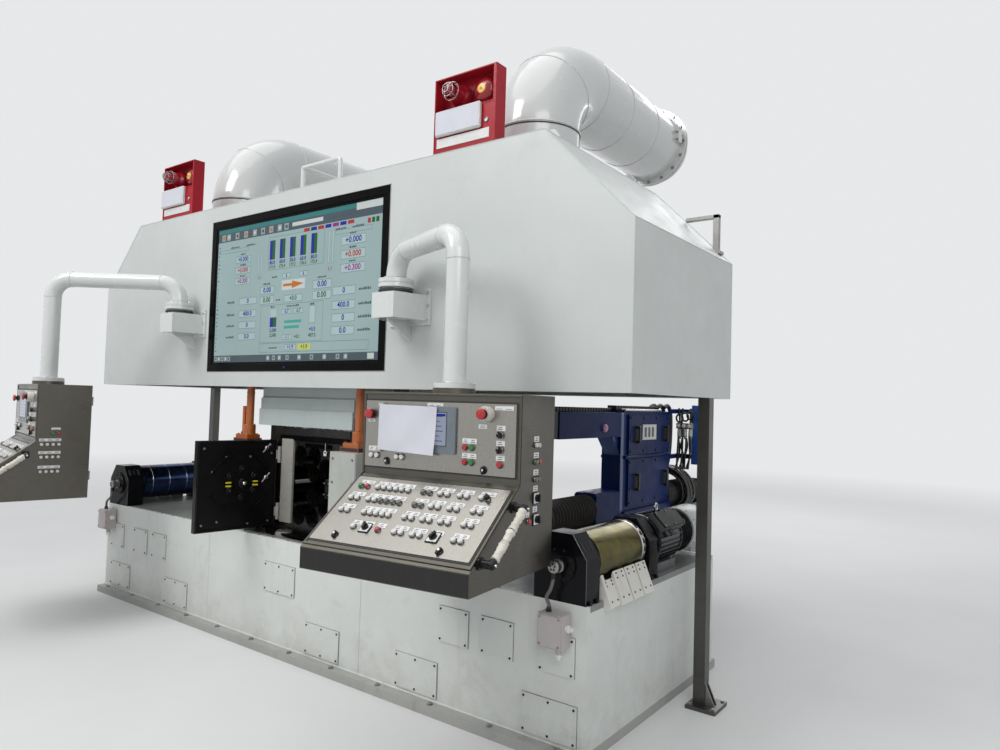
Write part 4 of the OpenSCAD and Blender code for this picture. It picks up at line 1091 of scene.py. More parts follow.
def sheet_of_paper():
    """A bare sheet taped over the left part of the panel, slightly curled."""
    p = Piece("paper_sheet", desk_frame(1))
    low_left, low_right = (-0.316, 1.372), (-0.001, 1.361)
    top_left, top_right = (-0.308, 1.579), (0.006, 1.575)
    cells = 12
    verts, faces = [], []
    for j, i in product(range(cells + 1), repeat=2):
        u, v = i / cells, j / cells
        x, y = (a * (1 - u) * v + b * u * v + c * u * (1 - v) + d * (1 - u) * (1 - v)
                for a, b, c, d in zip(top_left, top_right, low_right, low_left))
        buckle = 0.0032 * math.sin(4.4 * u + 2.6 * v) + 0.0015 * math.sin(9.0 * u - 5.0 * v)
        verts.append((x, y, 0.0232 + buckle + 0.012 * ((1 - v) * u) ** 2.5))
    for j, i in product(range(cells), repeat=2):
        k = j * (cells + 1) + i
        faces.append((k, k + 1, k + cells + 2, k + cells + 1))
    p.add(verts, faces, "paper", FACE)
    p.add([(x, y, z - 0.0004) for x, y, z in verts], [f[::-1] for f in faces], "paper", FACE)
    for x, y in (top_left, low_left):
        p.box((x - 0.012, y - 0.010, 0.004), (x + 0.016, y + 0.006, 0.0235), "tapeclear", FACE, 0.002)
    p.done("right_desk", "desk_steel")


def desk(side, flank):
    p = Piece("desk_fittings_" + WORDS[side], desk_frame(side))
    for part in (desk_panels, slope_controls, door_controls, touch_panel, flank):
        part(p)
    p.done(WORDS[side] + "_desk", "desk_steel")
    grab_bar(side)


desk(1, right_flank)
desk(-1, left_flank)
sheet_of_paper()


# Swing arms and their brackets
def arm_fittings(side):
    """Flange bolts and weld beads."""
    p = Piece("arm_fittings_" + WORDS[side])
    base, reach, pipe = arm_frame(side), SWING[side][1], 0.0545
    for x, z in ((0, 2.2413), (reach, 1.6823)):
        p.bolts((base @ Vector(q) for q in on_circle((x, 0, z), "z", 8, 0.080, 22.5)), UP, 0.008, "steel")
        p.torus(base @ Vector((x, 0, z + 0.003)), UP, 0.057, 0.005, "weld", 36, 8)
    along = base.to_3x3() @ Vector(RIGHT)
    for x, z, d in ((0, 2.255, UP), (0.13, 2.385, along), (reach - 0.13, 2.385, along), (reach, 2.255, UP)):
        p.torus(base @ Vector((x, 0, z)), d, pipe, 0.0022, "weld", 36, 6)
    p.done(WORDS[side] + "_arm", "arm_paint")


def bracket_fittings():
    p = Piece("bracket_fittings")
    seal = [(0.088, 0), (0.092, 0.003), (0.092, 0.012), (0.088, 0.0150), (0.0755, 0.015)]
    for s in SIDES:
        xs = [s * ARM_X + dx for dx in (-0.135, 0.135)]
        p.bolts(product(xs, [FRONT - 0.012], (2.03, 2.11, 2.18)), OUT, 0.008, "steel")
        p.disc((s * ARM_X, FRONT - ARM_OUT, 2.172), UP, seal, "seal", 40)
        for k in range(5):
            x = s * ARM_X - 0.06 + 0.03 * k
            bead = [(x, FRONT - 0.03, 2.166), (x + 0.01, FRONT - 0.02, 2.173), (x, FRONT - 0.0135, 2.168)]
            p.tube(curve_pts(bead, 3), 0.003, "weld", 6)
    p.done()


arm_fittings(1)
arm_fittings(-1)
bracket_fittings()


# Roll door, in frames with x from the hinge, y up and z out of the inner or outer face
HINGE = shift(HINGE_X, HINGE_Y, 1.02) @ turned(-97, "Z")
INNER = HINGE @ shift(0, -0.017, 0) @ axes(RIGHT, UP, BACK)
OUTER = HINGE @ shift(0, -0.062, 0) @ UPRIGHT


def door_inner(p):
    """Raised rim, centre boss in a ring of six, yellow marks, arcs, screws and latch rods."""
    x0, x1, y1, rim = 0.010, 0.548, 0.285, 0.013
    for y in (-y1, y1 - rim):
        p.box((x0, y, 0), (x1, y + rim, 0.010), "door", INNER, 0.003)
    for x in (x0, x1 - rim):
        p.box((x, rim - y1, 0), (x + rim, y1 - rim, 0.010), "door", INNER, 0.003)
    cx, cy = 0.255, 0.014
    centre = INNER @ shift(cx, cy, 0)
    p.lathe([(0.030, 0.0), (0.030, 0.022), (0.024, 0.028), (0, 0.028)], "doorring", centre)
    knob = [(0.011, 0.028), (0.013, 0.036), (0.011, 0.046), (0.005, 0.050), (0, 0.050)]
    p.lathe(knob, "chrome", centre, 20)
    cup = [(0.021, 0), (0.021, 0.011), (0.017, 0.014), (0.011, 0.014), (0.010, 0.009), (0, 0.009)]
    for k in range(6):
        t = math.radians(30 + 60 * k)
        m = centre @ shift(0.095 * math.cos(t), 0.092 * math.sin(t), 0)
        p.lathe(cup, "doorring", m, 20)
        p.lathe([(0.0045, 0.009), (0.004, 0.0125), (0, 0.0125)], "dull", m, 10)
    for s in SIDES:
        x = cx + s * 0.092
        for y in (-0.009, 0.014):
            p.box((x - 0.017, y, 0.001), (x + 0.017, y + 0.010, 0.016), "yellow", INNER, 0.002)
        for start in (22, 112, 202, 292):
            arc = []
            for i in range(9):
                t = math.radians(start + 46 * i / 8)
                x, y = 0.268 + 0.200 * math.cos(t), cy + 0.188 * math.sin(t)
                arc.append(INNER @ Vector((x, y, 0.006)))
            p.tube(arc, 0.005, "doorring", 8)
    screws = ((0.363, 0.182), (0.200, 0.181), (0.453, 0.091), (0.05, 0.20), (0.411, -0.227), (0.203, -0.255),
              (0.51, -0.24), (0.51, 0.24), (0.06, -0.25), (0.06, 0.255))
    p.caps((INNER @ Vector((x, y, 0)) for x, y in screws), normal(INNER), 0.007, "dull")
    for y in (0.235, 0.04):
        a, b = INNER @ Vector((0.115, y - 0.03, 0.007)), INNER @ Vector((0.062, y + 0.03, 0.008))
        p.rod(a, b, 0.005, "dull", 12)
        eye = [(0.014, 0), (0.014, 0.006), (0.009, 0.011), (0, 0.012)]
        p.disc(INNER @ Vector((0.086, y, 0.001)), normal(INNER), eye, "chrome", 18)


def door_outer(p):
    """Two straps and the pull handle."""
    for y in (-0.19, 0.19):
        p.box((0.030, y - 0.022, 0), (0.42, y + 0.022, 0.009), "door", OUTER, 0.003)
        p.bolts((OUTER @ Vector((x, y, 0.009)) for x in (0.06, 0.20, 0.36)), normal(OUTER), 0.008, "dull")
    p.rod(OUTER @ Vector((0.50, -0.08, 0.030)), OUTER @ Vector((0.50, 0.08, 0.030)), 0.009, "steel", 16)
    for y in (-0.07, 0.07):
        p.rod(OUTER @ Vector((0.50, y, 0.0)), OUTER @ Vector((0.50, y, 0.030)), 0.007, "steel", 12)


def cavity_fittings():
    """Keeper plates and dark clutter round the mouth, strip wipers, spray bars and a tray."""
    p, y = Piece("cavity_fittings"), FRONT + 0.20
    p.box((0.265, y - 0.012, 0.80), (0.305, y, 1.26), "cavity")
    p.caps(((0.285, y - 0.012, z) for z in (0.82, 1.02, 1.22)), OUT, 0.009, "cavity", 0.004)
    for i in range(11):
        x = -0.02 + i * 0.024
        p.box((x, y - 0.010, 1.272), (x + 0.012, y, 1.300), "cavity", c=0.002)
    p.box((-0.28, y - 0.014, 1.310), (0.40, y, 1.345), "cavity", c=0.004)
    p.rod((0.183, y - 0.008, 1.31), (0.183, y - 0.008, 1.262), 0.003, "steel", 8)
    p.torus((0.183, y - 0.009, 1.247), BACK, 0.012, 0.0035, "label", 20, 8)
    p.box((0.171, y - 0.013, 1.228), (0.195, y - 0.005, 1.244), "label", c=0.002)
    y0, y1 = FRONT + 0.262, FRONT + 0.826
    for s in SIDES:
        for z0, z1, below, above in ((0.945, 1.007, 0.010, 0), (1.033, 1.095, 0, 0.010)):
            p.box((s * 0.24, y0, z0), (s * 0.46, y1, z1), "cavity", c=0.004)
            p.box((s * 0.46, y0, z0 - below), (s * 0.60, y1, z1 + above), "seal", c=0.004)
    for z in (0.985, 1.055):
        p.rod((0.17, y - 0.004, z), (0.34, y - 0.004, z), 0.009, "roll", 14)
        for k in range(4):
            p.rod((0.19 + 0.04 * k, y - 0.004, z), (0.19 + 0.04 * k, y - 0.015, z), 0.005, "dull", 8)
    p.box((-0.17, y - 0.11, 0.702), (0.30, y, 0.716), "cavity")
    p.box((-0.17, y - 0.11, 0.702), (-0.155, y, 0.726), "cavity")
    p.done()


def jamb_fittings():
    """Cover disc and collar of the door's pedestal."""
    p, x, y = Piece("jamb_fittings"), -0.130, FRONT + 0.138
    p.disc((x, y, 0.7215), UP, [(0.0515, 0), (0.0515, 0.002), (0.046, 0.005), (0, 0.005)], "dull", 36)
    p.torus((x, y, 0.652), UP, 0.0575, 0.003, "beige", 36, 8)
    p.caps(on_circle((x, y, 0.7262), "z", 6, 0.036), UP, 0.005, "dull", 0.0025)
    p.done()


def pillar_fittings():
    """Folded guards over the pillars' inner edges, and their bolts."""
    p, y = Piece("pillar_fittings"), FRONT + 0.026
    guard = [(0.424, 0.90), (0.424, 1.25), (0.46, 1.272), (0.645, 1.276), (0.645, 0.90)]
    for s in SIDES:
        p.prism(guard, 0.004, "pillar", shift(0, FRONT + 0.030, 0) @ mirrored(s) @ UPRIGHT)
        p.bolts(product((s * 0.45, s * 0.62), [y], (0.93, 1.10, 1.24)), OUT, 0.007, "dull")
        p.bolts(product((s * 0.44, s * 0.63), [y], [0.72]), OUT, 0.010, "dull")
    p.done()


def lift_fittings():
    """Seats, rings and screws of the four lift cylinders, and the guide rods' ends."""
    p, seat = Piece("lift_fittings"), 1.333
    for s, y in product(SIDES, (FRONT + 0.135, FRONT + 0.915)):
        x = s * 0.552
        p.box((x - 0.0956, y - 0.0606, 1.2806), (x + 0.0606, y + 0.0606, 1.3084), "seal", c=0.004)
        p.bolts(product((x - 0.072, x + 0.032), (y - 0.037, y + 0.037), [seat]), UP, 0.008, "orange")
        p.torus((x, y, 1.334), UP, 0.042, 0.003, "orange", 32, 6)
        p.disc((x, y, 1.395), UP, [(0.041, 0), (0.036, 0.006), (0.0265, 0.008)], "orange", 32)
        p.torus((x, y, 1.62), UP, 0.0262, 0.003, "orange", 32, 6)
        p.caps(on_circle((x, y, 1.402), "z", 6, 0.034), UP, 0.0042, "dull")
        if s < 0:
            nut = [(0.021, 0), (0.021, 0.014), (0.018, 0.017), (0.014, 0.017)]
            p.disc((x - 0.064, y, seat), UP, nut, "dull", 6)
            p.disc((x - 0.064, y, 1.523), UP, [(0.014, 0), (0.011, 0.004), (0, 0.004)], "orange", 20)
    p.done()


def guard_fittings():
    """Screws and folded lips of the stepped plates."""
    p = Piece("guard_fittings")
    for z, y in ((1.46, 0.150), (1.553, 0.162), (1.70, 0.176)):
        p.caps(product((-0.44, 0.0, 0.44), [FRONT + y], [z]), OUT, 0.0035, "guard", 0.002)
    p.box((-0.469, FRONT + 0.147, 1.405), (0.469, FRONT + 0.150, 1.412), "guard", c=0.001)
    p.box((-0.469, FRONT + 0.1735, 1.560), (0.469, FRONT + 0.176, 1.600), "dull", c=0.001)
    p.done()


p = Piece("door_fittings")
door_inner(p)
door_outer(p)
p.done("roll_door", "door_black")
cavity_fittings()
jamb_fittings()
pillar_fittings()
lift_fittings()
guard_fittings()


# Bed
def cover_screws():
    """Screws of the access covers, and the dark joint round each."""
    p = Piece("cover_screws")
    covers = [(x, 0.16, 0.30) for x in (-1.98, -1.165, 0.445, 1.2, 2.03)]
    covers += [(x, 0.46, 0.195) for x in (-2.045, -1.69, -1.42, 1.45, 1.725, 2.065)] + [(0.025, 0.46, 0.30)]
    for x, z, w in covers:
        inset, rows, y = w / 2 - 0.014, (z - 0.076, z + 0.076), [FRONT - 0.008]
        p.caps(product((x - inset, x + inset), y, rows), OUT, 0.0055, "plastic", 0.004)
        if w > 0.25:
            p.caps(product([x], y, rows), OUT, 0.0055, "plastic", 0.004)
        a, b = w / 2 + 0.0015, 0.0915
        p.box((x - a, FRONT - 0.0015, z - b), (x + a, FRONT - 0.0002, z + b), "seal", c=0.0003)
    p.done()


def bed_trim():
    """Weld seams of the front's three lengths, floor bolts, and screws along the deck's rim."""
    p, half = Piece("bed_trim"), 2.215
    for x in (-0.76, 0.76):
        p.tube([(x, FRONT - 0.0005, z) for z in (0.052, 0.40, 0.698)], 0.0022, "bed", 8)
    for s in (1, -1):
        p.tube([(x, s * (FRONT - 0.001), 0.0515) for x in (-half, half)], 0.005, "bed", 8)
    for i in range(12):
        p.bolts(product([-2.1 + i * 4.2 / 11], (FRONT - 0.036, -FRONT + 0.036), [0.05]), UP, 0.013, "dull")
    for i in range(30):
        x = -2.17 + i * 4.34 / 29
        if abs(abs(x) - ROLL_X) >= 0.16 and abs(abs(x) - 0.535) >= 0.13:
            p.cap((x, FRONT + 0.0125, DECK), UP, 0.006, "dull")
    p.done()


def box_lids():
    """Lids and glands of the junction boxes."""
    p, y = Piece("box_lids"), FRONT - 0.090
    for x in (-2.14, 2.075):
        p.box((x - 0.060, y, 0.515), (x + 0.060, FRONT - 0.0828, 0.655), "pinkgrey", c=0.003)
        p.caps(product((x - 0.05, x + 0.05), [y], (0.525, 0.645)), OUT, 0.005, "dull")
        p.gland((x + 0.030, FRONT - 0.048, 0.482), DOWN, (0.018, 0.010), (0.013, 0.024), 0.003, "label")
        p.gland((x + 0.066, FRONT - 0.045, 0.600), RIGHT, (0.017, 0.014), (0.012, 0.030), 0.004, "label")
    p.done()


cover_screws()
bed_trim()
box_lids()


# Deflector rolls and motors
def block_fittings():
    """Slots in the blocks' shoulders, front caps, feet, and a thin lighter line round each front face as a
    painted highlight on its bevel.
    """
    p = Piece("block_fittings")
    for s in SIDES:
        x, y = s * ROLL_X, FRONT - 0.008
        for y0, y1 in ((FRONT, FRONT + 0.125), (FRONT + 0.655, FRONT + 0.765)):
            for e in SIDES:
                lean = math.degrees(e * math.atan2(0.11, 0.076))
                m = shift(x + e * 0.102, (y0 + y1) / 2, 0.957) @ turned(lean, "Y")
                for k, length, w in ((-1, 0.050, 0.019), (0, 0.034, 0.014), (1, 0.050, 0.019)):
                    p.prism(rounded(length, w, 0.0068), 0.0014, "hole", m @ shift(0, k * 0.034, -0.0002))
        p.caps(on_circle((x, y, ROLL_Z), "y", 8, 0.070, 22.5), OUT, 0.006, "plastic")
        p.disc((x, y, ROLL_Z), OUT, [(0.045, 0), (0.045, 0.003), (0, 0.003)], "black", 32)
        for e, dy in product(SIDES, (0.030, 0.095, 0.680, 0.740)):
            edge, foot = x + e * 0.140, FRONT + dy
            p.box((edge, foot - 0.012, DECK), (edge + e * 0.012, foot + 0.012, 0.718), "black", c=0.003)
    # painted highlight: a thin metal line along each front face's outline stands in for the light caught by
    # its bevel
    for s in SIDES:
        outline = [(-0.14, 0.705), (-0.14, 0.902), (-0.064, 1.012),
                   (0.064, 1.012), (0.14, 0.902), (0.14, 0.705)]
        p.tube([(s * ROLL_X + a, FRONT + 0.0004, z) for a, z in outline], 0.0011, "rim", 6)
    p.done(slot="block_black")


def roll_ends(word, s, ring, slot):
    """End rings: oblong holes in the rear one, screws in the front one."""
    p = Piece(word + "_roll_ends")
    x, y0, y1 = s * ROLL_X, FRONT + 0.144, FRONT + 0.59
    rear = [(0.060, 0), (0.1325, 0), (0.1332, 0.003), (0.1332, 0.044), (0.130, 0.0505), (0.060, 0.0505)]
    front = [(0.050, 0), (0.130, 0), (0.1332, 0.003), (0.131, 0.010), (0.10, 0.012), (0.050, 0.012)]
    p.disc((x, y1, ROLL_Z), BACK, rear, ring, 64)
    for k in range(20):
        m = shift(x, y1 + 0.024, ROLL_Z) @ turned(18 * k, "Y") @ shift(0, 0, 0.1322)
        p.prism(rounded(0.026, 0.016, 0.0078, 4), 0.0016, "hole", m)
    p.disc((x, y0, ROLL_Z), OUT, front, "black", 64)
    p.caps(on_circle((x, y0 - 0.011, ROLL_Z), "y", 12, 0.115), OUT, 0.005, "dull")
    if s < 0:                      # polished bands
        for dy in (0.21, 0.35, 0.50):
            p.torus((x, FRONT + dy, ROLL_Z), BACK, 0.1328, 0.0008, "chrome", 64, 6)
    p.done(word + "_roll", slot)


def motor_body(p, x, y):
    """Cooling fins, flange, ribbed middle and a smooth cowl with a domed end."""
    for k in range(32):
        if 240 < 360 / 32 * k < 300:
            continue
        m = shift(x, 0, ROLL_Z) @ turned(-360 / 32 * k, "Y")
        p.box((0.126, y + 0.034, -0.0022), (0.142, y + 0.325, 0.0022), "black", m, 0.001)
    flange = [(0.10, 0), (0.1455, 0), (0.1465, 0.002), (0.1465, 0.030), (0.142, 0.033), (0.10, 0.033)]
    collar = [(0.10, 0), (0.134, 0.0), (0.136, 0.004), (0.136, 0.020), (0.1235, 0.026)]
    cowl = [(0.10, 0), (0.129, 0), (0.131, 0.004), (0.131, 0.235), (0.124, 0.262), (0.105, 0.283),
            (0.07, 0.295), (0, 0.300)]
    p.disc((x, y - 0.001, ROLL_Z), BACK, flange, "black", 64)
    p.disc((x, y + 0.325, ROLL_Z), BACK, collar, "black", 56)
    for k in range(9):
        p.torus((x, y + 0.365 + 0.018 * k, ROLL_Z), BACK, 0.1225, 0.0045, "black", 56, 6)
    p.disc((x, y + 0.53, ROLL_Z), BACK, cowl, "cowl", 56)
    for q in on_circle((x, y + 0.56, ROLL_Z), "y", 12, 0.131):
        p.cap(q, Vector(q) - Vector((x, y + 0.56, ROLL_Z)), 0.005, "dull")


def terminal_box(p, s, x, y):
    """Lid, screws and cable glands on the upper outer quarter."""
    m = shift(x, 0, ROLL_Z) @ turned(-45 if s > 0 else -135, "Y")
    p.box((0.1675, y + 0.050, -0.052), (0.176, y + 0.320, 0.052), "black", m, 0.004)
    for dz, dy in product((-0.042, 0.042), (0.062, 0.185, 0.308)):
        p.cap(m @ Vector((0.176, y + dy, dz)), m.to_3x3() @ Vector(RIGHT), 0.005, "dull")
    for dy in (0.10, 0.16):
        p.rod(m @ Vector((0.135, y + dy, -0.050)), m @ Vector((0.135, y + dy, -0.085)), 0.015, "cable", 16)


def motor_fittings():
    p, y = Piece("motor_fittings"), FRONT + 0.765
    for s in SIDES:
        x = s * ROLL_X
        motor_body(p, x, y)
        terminal_box(p, s, x, y)
        p.torus((x, y + 0.272, 1.030), RIGHT, 0.017, 0.0055, "steel", 24)
        p.rod((x, y + 0.272, 0.995), (x, y + 0.272, 1.016), 0.010, "steel", 14)
        p.bolts(product((x - 0.09, x + 0.09), (y + 0.06, y + 0.28), [0.755]), UP, 0.009, "dull")
    p.done(slot="motor_grey")


def guide_screws():
    """Screws down each guide slat."""
    p = Piece("guide_screws")
    for s, (y, drop) in product(SIDES, ((0.322, 0), (0.443, 0), (0.564, 0), (0.221, 0.03))):
        for t in (0.08, 0.22, 0.80):
            x, z = s * (2.20 + (0.062 - drop / 3) * t), 0.812 - drop - (0.146 - drop) * t
            pair = [(x, FRONT + y + dy, z) for dy in (-0.028, 0.028)]
            p.caps(pair, (s * 146, 0, 62), 0.0045, "plastic", 0.003)
    p.done()


block_fittings()
roll_ends("entry", -1, "dull", "drum_dark")
roll_ends("exit", 1, "steel", "barrel_brass")
motor_fittings()
guide_screws()


# Thickness gauge
def gauge_plates(p):
    """Bolted plates on both flanks, with black pull handles, and the seam between them."""
    y0, y1 = COLUMN_Y0 + 0.06, COLUMN_Y1 - 0.04
    for s, x in ((1, GAUGE_X1 + 0.014), (-1, GAUGE_X0 - 0.014)):
        for z0, z1 in ((1.265, 1.545), (0.91, 1.235)):
            columns = [y0 + 0.025 + (y1 - y0 - 0.05) * k / 3 for k in range(4)]
            spots = [(y, z) for y in columns for z in (z0 + 0.022, z1 - 0.022)]
            spots += [(y, z0 + 0.12) for y in (y0 + 0.025, y1 - 0.025)]
            p.bolts(((x, y, z) for y, z in spots), (s, 0, 0), 0.009, "plastic", washer=False)
            mid, out = (z0 + z1) / 2, x + s * 0.030
            for y in (y0 + 0.115, y1 - 0.085):
                for z in (mid - 0.058, mid + 0.044):
                    p.box((x, y - 0.013, z), (out, y + 0.013, z + 0.014), "plastic", c=0.003)
                for near, far, wide, high, mat, c in ((0.020, 0.032, 0.014, 0.058, "plastic", 0.004),
                                                      (-0.001, 0.002, 0.030, 0.064, "hole", 0.0005)):
                    low, top = (x + s * near, y - wide, mid - high), (x + s * far, y + wide, mid + high)
                    p.box(low, top, mat, c=c)
        seam = sorted((x, x - s * 0.016))
        p.box((seam[0], COLUMN_Y0 + 0.01, 1.238), (seam[1] + 0.004, COLUMN_Y1 - 0.01, 1.260), "blue", c=0.004)
    plate = GAUGE_X1 + 0.0165
    p.box((GAUGE_X1 + 0.014, COLUMN_Y0 + 0.27, 1.365), (plate, COLUMN_Y0 + 0.50, 1.475), "label", c=0.001)
    for i in range(3):
        y = COLUMN_Y0 + 0.30 + 0.06 * i
        p.box((plate, y, 1.385), (plate + 0.0004, y + 0.035, 1.455), "ink", c=0.0002)


def gauge_heads(p):
    """End box of the upper arm, lenses, the lower arm's cap and the cable chains on top."""
    y = FRONT + 0.706
    p.box((GAUGE_X0 + 0.006, y - 0.004, 1.395), (GAUGE_X1 - 0.006, y + 0.098, 1.5665), "plastic", c=0.006)
    lens = [(0.040, 0), (0.040, 0.008), (0.028, 0.012), (0.020, 0.006), (0, 0.006)]
    p.disc((SLEEVE_X, y + 0.06, 1.394), DOWN, lens, "dull")
    lid = [(0.036, 0), (0.036, 0.008), (0.026, 0.014), (0, 0.014)]
    p.disc((SLEEVE_X, FRONT + 1.325, 1.028), UP, lid, "dull")
    eye = [(0.026, 0), (0.026, 0.012), (0.018, 0.020), (0, 0.024)]
    p.disc((GAUGE_X1 + 0.001, FRONT + 1.36, 1.455), RIGHT, eye, "foil", 24)
    cap = [(0.0, 0.0), (0.165, 0.0), (0.165, 0.012), (0.150, 0.026), (0.015, 0.026), (0.0, 0.012)]
    p.prism(cap, 0.36, "blue", shift(GAUGE_X0, COLUMN_Y0, 1.005) @ UPRIGHT)
    for i in range(22):
        y = FRONT + 0.84 + i * 0.036
        p.box((1.40, y, 1.558), (1.46, y + 0.031, 1.5885), "plastic", c=0.003)
    for i in range(18):
        y = FRONT + 1.66 + i * 0.040
        p.box((1.41, y, 1.570), (1.48, y + 0.034, 1.607), "plastic", c=0.003)
    p.box((1.50, FRONT + 1.70, 1.570), (1.535, FRONT + 2.30, 1.585), "steel", c=0.002)


def gauge_hoses(p):
    """Supply hoses from the chain down the drive side, and a coil hung round the rear sleeve."""
    hook_x, hook_z = 1.482, 1.116
    for x in (1.41, 1.465, 1.52):
        run = ((-0.05, 1.60), (0.02, 1.615), (0.075, 1.56), (0.085, 1.40), (0.06, 1.22), (0.0, 1.12))
        p.tube(curve_pts([(x, COLUMN_Y1 + dy, z) for dy, z in run], 5), 0.016, "cable")
        p.gland((x, COLUMN_Y1, 1.12), BACK, (0.024, 0.012), (0.018, 0.03), 0.004, "steel", 18)
    for k in range(18):
        dice = random.Random(40 + k)
        y = COLUMN_Y1 + 0.060 + 0.0195 * (k // 2)
        a = dice.uniform(0.190, 0.206) if k % 2 else dice.uniform(0.150, 0.172)
        pts = []
        for i in range(49):
            t = 2 * math.pi * i / 48
            high = 0.128 if math.sin(t) < 0 else a + 0.006
            x = hook_x + a * math.cos(t) + dice.uniform(-0.0015, 0.0015)
            pts.append((x, y + 0.006 * math.sin(2 * t + k), 0.936 + high * math.sin(t)))
        p.tube(pts, 0.0090, "hose", 10)
    p.rod((hook_x, COLUMN_Y1 - 0.004, hook_z), (hook_x, COLUMN_Y1 + 0.245, hook_z), 0.011, "dull", 16)
    rose = [(0, 0), (0.034, 0), (0.034, 0.008), (0.018, 0.014), (0, 0.014)]
    p.disc((hook_x, COLUMN_Y1, hook_z), BACK, rose, "dull", 24)


def gauge_mast(p):
    """Blue mast with the valves."""
    y = COLUMN_Y1
    # the mast is in the lighter copy of the blue paint, as painted light
    p.box((1.664, y + 0.150, 1.165), (1.724, y + 0.190, 1.625), "bluelit", c=0.004)
    for z in (1.225, 1.575):
        p.box((1.535, y - 0.003, z - 0.018), (1.555, y + 0.172, z + 0.018), "blue", c=0.003)
        p.box((1.535, y + 0.154, z - 0.018), (1.670, y + 0.172, z + 0.018), "blue", c=0.003)
    p.box((1.556, y + 0.105, 1.440), (1.690, y + 0.152, 1.485), "dull", c=0.004)
    nozzle = [(0.0165, 0), (0.0165, 0.008), (0.009, 0.012), (0.009, 0.026), (0, 0.026)]
    coil = [(0.014, 0), (0.014, 0.016), (0.010, 0.020), (0, 0.020)]
    for i in range(3):
        x = 1.580 + 0.044 * i
        p.rod((x, y + 0.128, 1.440), (x, y + 0.128, 1.385), 0.0155, "bossp", 16)
        p.disc((x, y + 0.128, 1.385), DOWN, nozzle, "dull", 16)
        p.disc((x, y + 0.105, 1.462), OUT, coil, "bossp", 16)
        p.torus((x, y + 0.120, 1.520 + 0.012 * i), (0.3, 1, 0.1), 0.032, 0.0075, "hose", 24, 8)


def mast_hoses(p):
    """Thin hoses from the valves down to the coil, and the brace under the upper arm."""
    for k in range(8):
        dice = random.Random(70 + k)
        x, y, top = 1.565 + 0.016 * k, COLUMN_Y1 + (0.098 if k % 2 else 0.140), 1.37 if k % 3 else 1.60
        run = [(x, y, top)]
        for z in (1.50, 1.40, 1.30, 1.22):
            if z < top - 0.03:
                run.append((x + dice.uniform(-0.012, 0.012), y + dice.uniform(-0.010, 0.010), z))
        run.append((x * 0.5 + 0.79, COLUMN_Y1 + 0.06 + 0.018 * k, 1.125))
        p.tube(curve_pts(run, 4), 0.0078, "hose", 10)
    m = shift(SLEEVE_X - 0.060, COLUMN_Y0, 1.389) @ axes(OUT, UP, RIGHT)
    p.prism([(0, 0), (0.115, 0), (0, -0.125)], 0.120, "bluelit", m)
    p.box((GAUGE_X1 - 0.003, FRONT + 1.60, 0.87), (GAUGE_X1 + 0.002, COLUMN_Y0, 1.556), "bluelit", c=0.002)


def bellows(name, node, y0, y1):
    """Folded sleeve: sharp crests with rounded valleys between end rings."""
    length = y1 - y0
    n = round(length / 0.036)
    step = length / n
    fold = ((0.081, 0.32), (0.096, 0.45), (0.100, 0.50), (0.096, 0.55), (0.081, 0.68), (0.079, 0.90))
    prof = [(0, 0), (0.092, 0), (0.094, 0.003), (0.094, step * 0.3)]
    for i in range(n):
        prof += [(0.079, step * (i + (0.35 if i == 0 else 0.10)))] + [(r, step * (i + t)) for r, t in fold]
    prof += [(0.094, length - 0.004), (0.094, length), (0, length)]
    p = Piece(name)
    p.disc((SLEEVE_X, FRONT + y0, SLEEVE_Z), BACK, prof, "bellow", 56)
    o = p.done(None, sharp=50)
    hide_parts(node)
    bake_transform(o)


def gauge_stand_fittings():
    """Rail bolts, and rounded plates over the sleeves' ends."""
    p, face = Piece("gauge_stand_fittings"), FRONT + 0.7165
    for y in (0.76, 1.6, 2.4, 2.99):
        p.bolts(product((1.343, 1.592), [FRONT + y], [0.79]), UP, 0.011, "dull")
    p.box((1.327, FRONT + 0.7185, 0.705), (1.608, FRONT + 0.7199, 0.785), "deck", c=0.0005)
    for y in (0.7425, 3.0635):
        p.prism(rounded(0.172, 0.226, 0.030, 6), 0.026, "blue", shift(SLEEVE_X, FRONT + y, 0.902) @ UPRIGHT)
    p.bolts(product((1.405, 1.53), [face], (0.815, 0.99)), OUT, 0.007, "plastic")
    p.done()


p = Piece("gauge_fittings")
for part in (gauge_plates, gauge_heads, gauge_hoses, gauge_mast, mast_hoses):
    part(p)
p.done("gauge", "gauge_blue")
bellows("sleeve_front", "gauge_bellows_front", 0.74, 1.28)
bellows("sleeve_rear", "gauge_bellows_rear", 2.42, 3.04)
gauge_stand_fittings()


